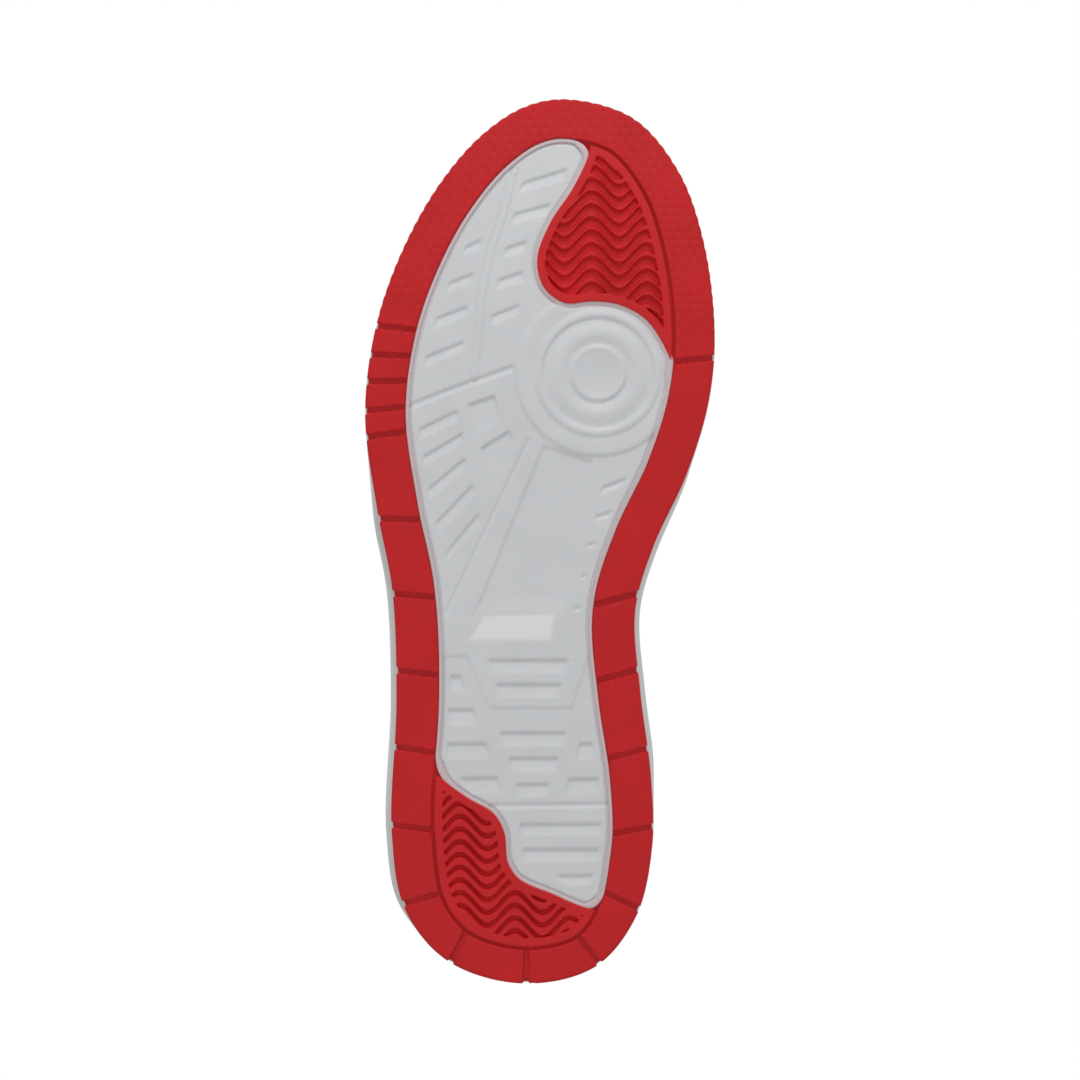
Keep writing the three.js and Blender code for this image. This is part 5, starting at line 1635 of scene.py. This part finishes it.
class SHOE_OT_tread(bpy.types.Operator):
    """Makes the two wavy tread pads"""

    bl_idname = "shoe.tread"
    bl_label = "Tread pads"

    def execute(self, context):
        sole = context.scene.shoe_sole
        rubber = moulded_rubber("moulded_pad_rubber", sole.tread)
        for name, edge, keep, waves, node in (
            ("toe_tread", TOE_PAD_EDGE, (35, -100), (17.6, -121.4, 4.45, 2.7), "toe_tread_pad"),
            ("heel_tread", HEEL_PAD_EDGE, (-25, 115), (-8.4, 119.3, 4.3, 1.5), "heel_tread_pad"),
        ):
            points, faces, _, _ = pad_mesh(edge, keep, waves, sole.wave)
            piece(name, points, faces, rubber, slot="red_rubber", nodes=[node])
        return {"FINISHED"}


class SHOE_OT_plate(bpy.types.Operator):
    """Makes the white moulded plate"""

    bl_idname = "shoe.plate"
    bl_label = "Sole plate"

    def execute(self, context):
        points, faces, depth, places = plate_mesh()
        rubber = moulded_plate_rubber("moulded_white_rubber", context.scene.shoe_sole.plate)
        made = piece("moulded_plate", points, faces, rubber, slot="white_rubber", nodes=["sole_plate"])
        wide = lip_width(places)
        paint(made, "lip", 1 - smoothstep(depth, wide - 0.2, wide + 0.5))
        # Mask of the blank patch, which the material paints lighter as a painted highlight.
        paint(made, "smooth", smoothstep(inside_of(places, BLANK_PATCH), -0.6, 1.4))
        return {"FINISHED"}


class SHOE_OT_midsole(bpy.types.Operator):
    """Makes the foam midsole"""

    bl_idname = "shoe.midsole"
    bl_label = "Midsole"

    def execute(self, context):
        points, faces = midsole_mesh()
        skin = foam("moulded_eva_foam", context.scene.shoe_sole.foam)
        piece("foam_midsole", points, faces, skin, slot="white_foam", nodes=["midsole"])
        return {"FINISHED"}


class SHOE_OT_inside(bpy.types.Operator):
    """Makes the strobel board, the insole, the lining and the padded collar"""

    bl_idname = "shoe.inside"
    bl_label = "Inside"

    def execute(self, context):
        textile = context.scene.shoe_upper.textile
        points, faces = slab_mesh(BASE_INSET + 0.9, GAP, GAP + BOARD)
        piece("inner_board", points, faces, woven("nonwoven_board", "#C4BFB3", 0.055, 1.4),
              slot="board", nodes=["strobel_board"])
        low = 2 * GAP + BOARD
        points, faces = slab_mesh(BASE_INSET + INSOLE_CLEARANCE, low, low + INSOLE, dish=0.8)
        piece("removable_insole", points, faces, woven("red_brushed_knit", textile, 0.16, 1.1),
              body="insole", slot="insole_foam", nodes=["insole"])
        knit = woven("red_spacer_knit", textile, 0.18, 1.3)

        def lining_face(s, t, v):
            return LINING - 0.8 * smoothstep(v, 0.7, 0.9)

        points, faces = shell(lining_place, 0, lining_face)
        piece("lining_sheet", points, faces, knit, slot="lining_textile", nodes=["collar_lining"])

        def roll_inner(s, t, v):
            ends = smoothstep(np.abs(wrap(s)), COLLAR_START, 0.69)
            swell = np.sin(np.pi * np.clip(v, 0, 1) ** 1.6) ** 0.8
            return -0.3 - (COLLAR_PAD - 1.4) * swell * lerp(0.25, 1, ends)

        def roll_outer(s, t, v):
            return 1.2 + 0.4 * np.sin(np.pi * v)

        points, faces = shell(collar_place, roll_inner, roll_outer, step=2.0, fold=2.2)
        roll = piece("collar_roll", points, faces, knit, slot="lining_textile", nodes=["collar_lining"])
        inflate(roll, 1.9, 3.0, 1.1)
        finish_piece(roll, knit, "shoe", "lining_textile", ["collar_lining"], 80)
        return {"FINISHED"}


class SHOE_OT_upper(bpy.types.Operator):
    """Makes the vamp and the quarters"""

    bl_idname = "shoe.upper"
    bl_label = "Upper"

    def execute(self, context):
        looks = context.scene.shoe_upper
        leather = grained_leather("white_grain_leather", looks.leather)
        thread = spun_thread("white_bonded_thread", looks.thread)

        def vamp_low(s, t, v):
            return LEATHER_AT - 1.4 * (1 - smoothstep(np.abs(s), 0.34, 0.38))

        skin = shell(vamp_place, vamp_low, LEATHER_AT + LEATHER, step=1.7, ripple=0.22)
        piece("vamp_leather", *skin, leather, slot="white_leather", nodes=["vamp"], merge=True)
        lines = []
        for side, where in SIDES:
            place = quarter_place(side)
            face = quarter_level(LEATHER_AT + LEATHER, SKIVED)
            back = quarter_level(LEATHER_AT, LEATHER + 0.05)
            points, faces = shell(place, back, face, step=1.7, ripple=0.18)
            piece(f"quarter_leather_{where}", points, faces, leather, slot="white_leather",
                  nodes=[f"quarter_{where}"])
            front = "l" if side > 0 else "r"
            for inset in (1.3, 3.4):
                lines += seam_line(place, face, inset, front + "t")
        stitches("quarter_stitches", lines, thread, slot="white_leather", spacing=looks.stitch)
        holes = []
        for row in range(HOLE_ROWS):
            for k in np.arange(-3, 4) + 0.5 * (row % 2):
                if abs(k) < 3.4 - 0.1 * (row - 2.5) ** 2:
                    holes.append((HOLE_GRID[0] + HOLE_PITCH[0] * k, HOLE_GRID[1] + HOLE_PITCH[1] * row))
        punched_holes("toe_holes", holes, skin, looks.hole, moulded_rubber("punched_shadow", "#605C5A"))
        return {"FINISHED"}


class SHOE_OT_overlays(bpy.types.Operator):
    """Makes the toe cap, eyestays, stripes, counter and heel patch with their stitching"""

    bl_idname = "shoe.overlays"
    bl_label = "Overlays"

    def execute(self, context):
        looks = context.scene.shoe_upper
        white = grained_leather("white_grain_leather", looks.leather)
        red = grained_leather("red_grain_leather", looks.accent, 0.065)
        thread = spun_thread("white_bonded_thread", looks.thread)
        red_thread = spun_thread("red_bonded_thread", looks.accent)
        high = OVERLAY_AT + OVERLAY
        panels = [
            ("toe_cap_leather", toe_cap_place, white, "white_leather", "toe_cap", high, "t", (1.7, 4)),
            ("counter_leather", counter_place, red, "red_leather", "heel_counter", high, "t", (1.7,)),
            ("heel_patch_leather", heel_patch_place, white, "white_leather", "heel_patch", high, "lrtb",
             (1.5,)),
        ]
        for side, where in SIDES:
            panels.append((f"eyestay_leather_{where}", eyestay_place(side), red, "red_leather",
                           f"eyestay_{where}", high, "lrtb", (1.5,)))
            for name, *run in STRIPES:
                panels.append((f"stripe_{name}_leather_{where}", stripe_place(side, *run), red, "red_leather",
                               f"side_stripe_{name}_{where}", OVERLAY_AT + 0.9, "tb", (1.3,)))
        red_lines, white_lines = [], []
        for name, place, leather, slot, node, top, sides, insets in panels:
            points, faces = shell(place, OVERLAY_AT - TUCK, top, step=1.5)
            piece(name, points, faces, leather, slot=slot, nodes=[node])
            for inset in insets:
                (white_lines if leather == white else red_lines).extend(seam_line(place, top, inset, sides))
        stitches("red_overlay_stitches", red_lines, red_thread, slot="red_leather", spacing=looks.stitch)
        stitches("white_overlay_stitches", white_lines, thread, slot="white_leather", spacing=looks.stitch)
        return {"FINISHED"}


class SHOE_OT_tongue(bpy.types.Operator):
    """Makes the padded tongue and its patch"""

    bl_idname = "shoe.tongue"
    bl_label = "Tongue"

    def execute(self, context):
        looks = context.scene.shoe_upper
        leather = grained_leather("white_soft_leather", looks.leather)
        red = grained_leather("red_grain_leather", looks.accent, 0.065)
        low, high = -TONGUE_DROP - TONGUE + 0.5, -TONGUE_DROP - 0.5
        points, faces = arch_sheet(*TONGUE_SPAN, 0.68, low, high, 40, 70)
        pad = piece("tongue_pad", points, faces, leather, "tongue", "white_leather", ["tongue"], 80)
        inflate(pad, 1.8, 3.0, 0.7)
        finish_piece(pad, leather, "tongue", "white_leather", ["tongue"], 80)
        low = -TONGUE_DROP + 0.05
        points, faces = arch_sheet(*LABEL_SPAN, 0.84, low, low + OVERLAY, 30, 14)
        piece("tongue_label", points, faces, red, "tongue", "red_leather", ["tongue_patch"])
        thread = spun_thread("white_bonded_thread", looks.thread)
        c = np.linspace(-1, 1, 60) * 0.86
        lines = []
        for r in (0.12, 0.88):
            at = lerp(*LABEL_SPAN, r) + 0.03 * (1 - c * c) * r
            s = np.where(c < 0, -at, at)
            lines.append(upper_point(s, 1 - 0.16 * np.abs(c), low + OVERLAY + STITCH_LIFT))
        stitches("tongue_label_stitches", lines, thread, "tongue", "red_leather", 2.6)
        return {"FINISHED"}


class SHOE_OT_lacing(bpy.types.Operator):
    """Makes the eyelets, the flat lace and its aglets"""

    bl_idname = "shoe.lacing"
    bl_label = "Lacing"

    def execute(self, context):
        nickel = nickel_plate("nickel_plated_brass")
        for side, where in SIDES:
            for i in range(EYELETS):
                points, faces = eyelet_mesh(side, i)
                piece(f"rolled_eyelet_{where}_{i + 1}", points, faces, nickel, slot="eyelet_metal",
                      nodes=[f"eyelet_{where}_{i + 1}"], merge=True)
        path, aim, wide = lace_path()
        thin = np.interp(wide, (1.5, 3.3), (1.15, 0.75))
        points, faces = sweep(path, aim, wide, thin, 16, 2.6)
        braid = woven("white_braided_polyester", context.scene.shoe_upper.lace, 0.06, 0.9)
        piece("flat_lace", points, faces, braid, slot="lace_textile", nodes=["lace"])
        acetate = clear_acetate("rolled_acetate")
        for where, end, before in (("lateral", path[0], path[12]), ("medial", path[-1], path[-13])):
            away = unit(end - before)
            run = np.linspace(GAP, GAP + AGLET_LENGTH, 16)[:, None]
            taper = np.clip((run[:, 0] - AGLET_LENGTH * 0.8) / (AGLET_LENGTH * 0.2), 0, 1)
            radius = AGLET_RADIUS - 0.45 * taper ** 2
            points, faces = sweep(end + away * run, np.tile((1.0, 0.2, 0.1), (16, 1)), radius, radius, 18)
            piece(f"rolled_aglet_{where}", points, faces, acetate, slot="clear_plastic",
                  nodes=[f"aglet_{where}"])
        return {"FINISHED"}


class SHOE_OT_pull_loop(bpy.types.Operator):
    """Makes the webbing loop at the heel"""

    bl_idname = "shoe.pull_loop"
    bl_label = "Pull loop"

    def execute(self, context):
        path = pull_loop_path()
        looks = context.scene.shoe_upper
        aim = np.tile((1.0, 0, 0), (len(path), 1))
        points, faces = sweep(path, aim, LOOP_WIDTH / 2, LOOP_WEBBING / 2, 24, 5)
        piece("webbing_loop", points, faces, woven("red_herringbone_webbing", looks.textile, 0.16, 1.5),
              slot="webbing", nodes=["heel_pull_loop"])
        x, y, z = path[0]
        box = [(x + a * 5.2, y + LOOP_WEBBING / 2 + 0.1, z + b) for a, b in
               ((-1, 1.5), (1, 1.5), (1, 9), (-1, 9), (-1, 1.5))]
        stitches("loop_stitches", [resample(np.array(box), 0.8, False)],
                 spun_thread("white_bonded_thread", looks.thread), slot="webbing", spacing=2.6)
        return {"FINISHED"}


GROUPS = {"shoe_stage": StageSettings, "shoe_sole": SoleSettings, "shoe_upper": UpperSettings}
STEPS = {
    "stage": SHOE_OT_stage, "rim": SHOE_OT_rim, "tread": SHOE_OT_tread, "plate": SHOE_OT_plate,
    "midsole": SHOE_OT_midsole, "inside": SHOE_OT_inside, "upper": SHOE_OT_upper,
    "overlays": SHOE_OT_overlays, "tongue": SHOE_OT_tongue, "lacing": SHOE_OT_lacing,
    "pull_loop": SHOE_OT_pull_loop,
}


class SHOE_PT_panel(bpy.types.Panel):
    """Lists the steps that build the shoe"""

    bl_label = "Bowling Shoe"
    bl_idname = "SHOE_PT_panel"
    bl_space_type = "VIEW_3D"
    bl_region_type = "UI"
    bl_category = "Shoe"

    def draw(self, context):
        for name, group in GROUPS.items():
            box = self.layout.box()
            for key in group.__annotations__:
                box.prop(getattr(context.scene, name), key)
        for step in STEPS:
            self.layout.operator(f"shoe.{step}")


CLASSES = [*GROUPS.values(), *STEPS.values(), SHOE_PT_panel]


def register():
    for cls in CLASSES:
        bpy.utils.register_class(cls)
    for name, group in GROUPS.items():
        setattr(bpy.types.Scene, name, PointerProperty(type=group))


def unregister():
    for name in GROUPS:
        delattr(bpy.types.Scene, name)
    for cls in reversed(CLASSES):
        bpy.utils.unregister_class(cls)


def main():
    register()
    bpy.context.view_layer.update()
    for step in STEPS:
        getattr(bpy.ops.shoe, step)()


if __name__ == "__main__":
    main()
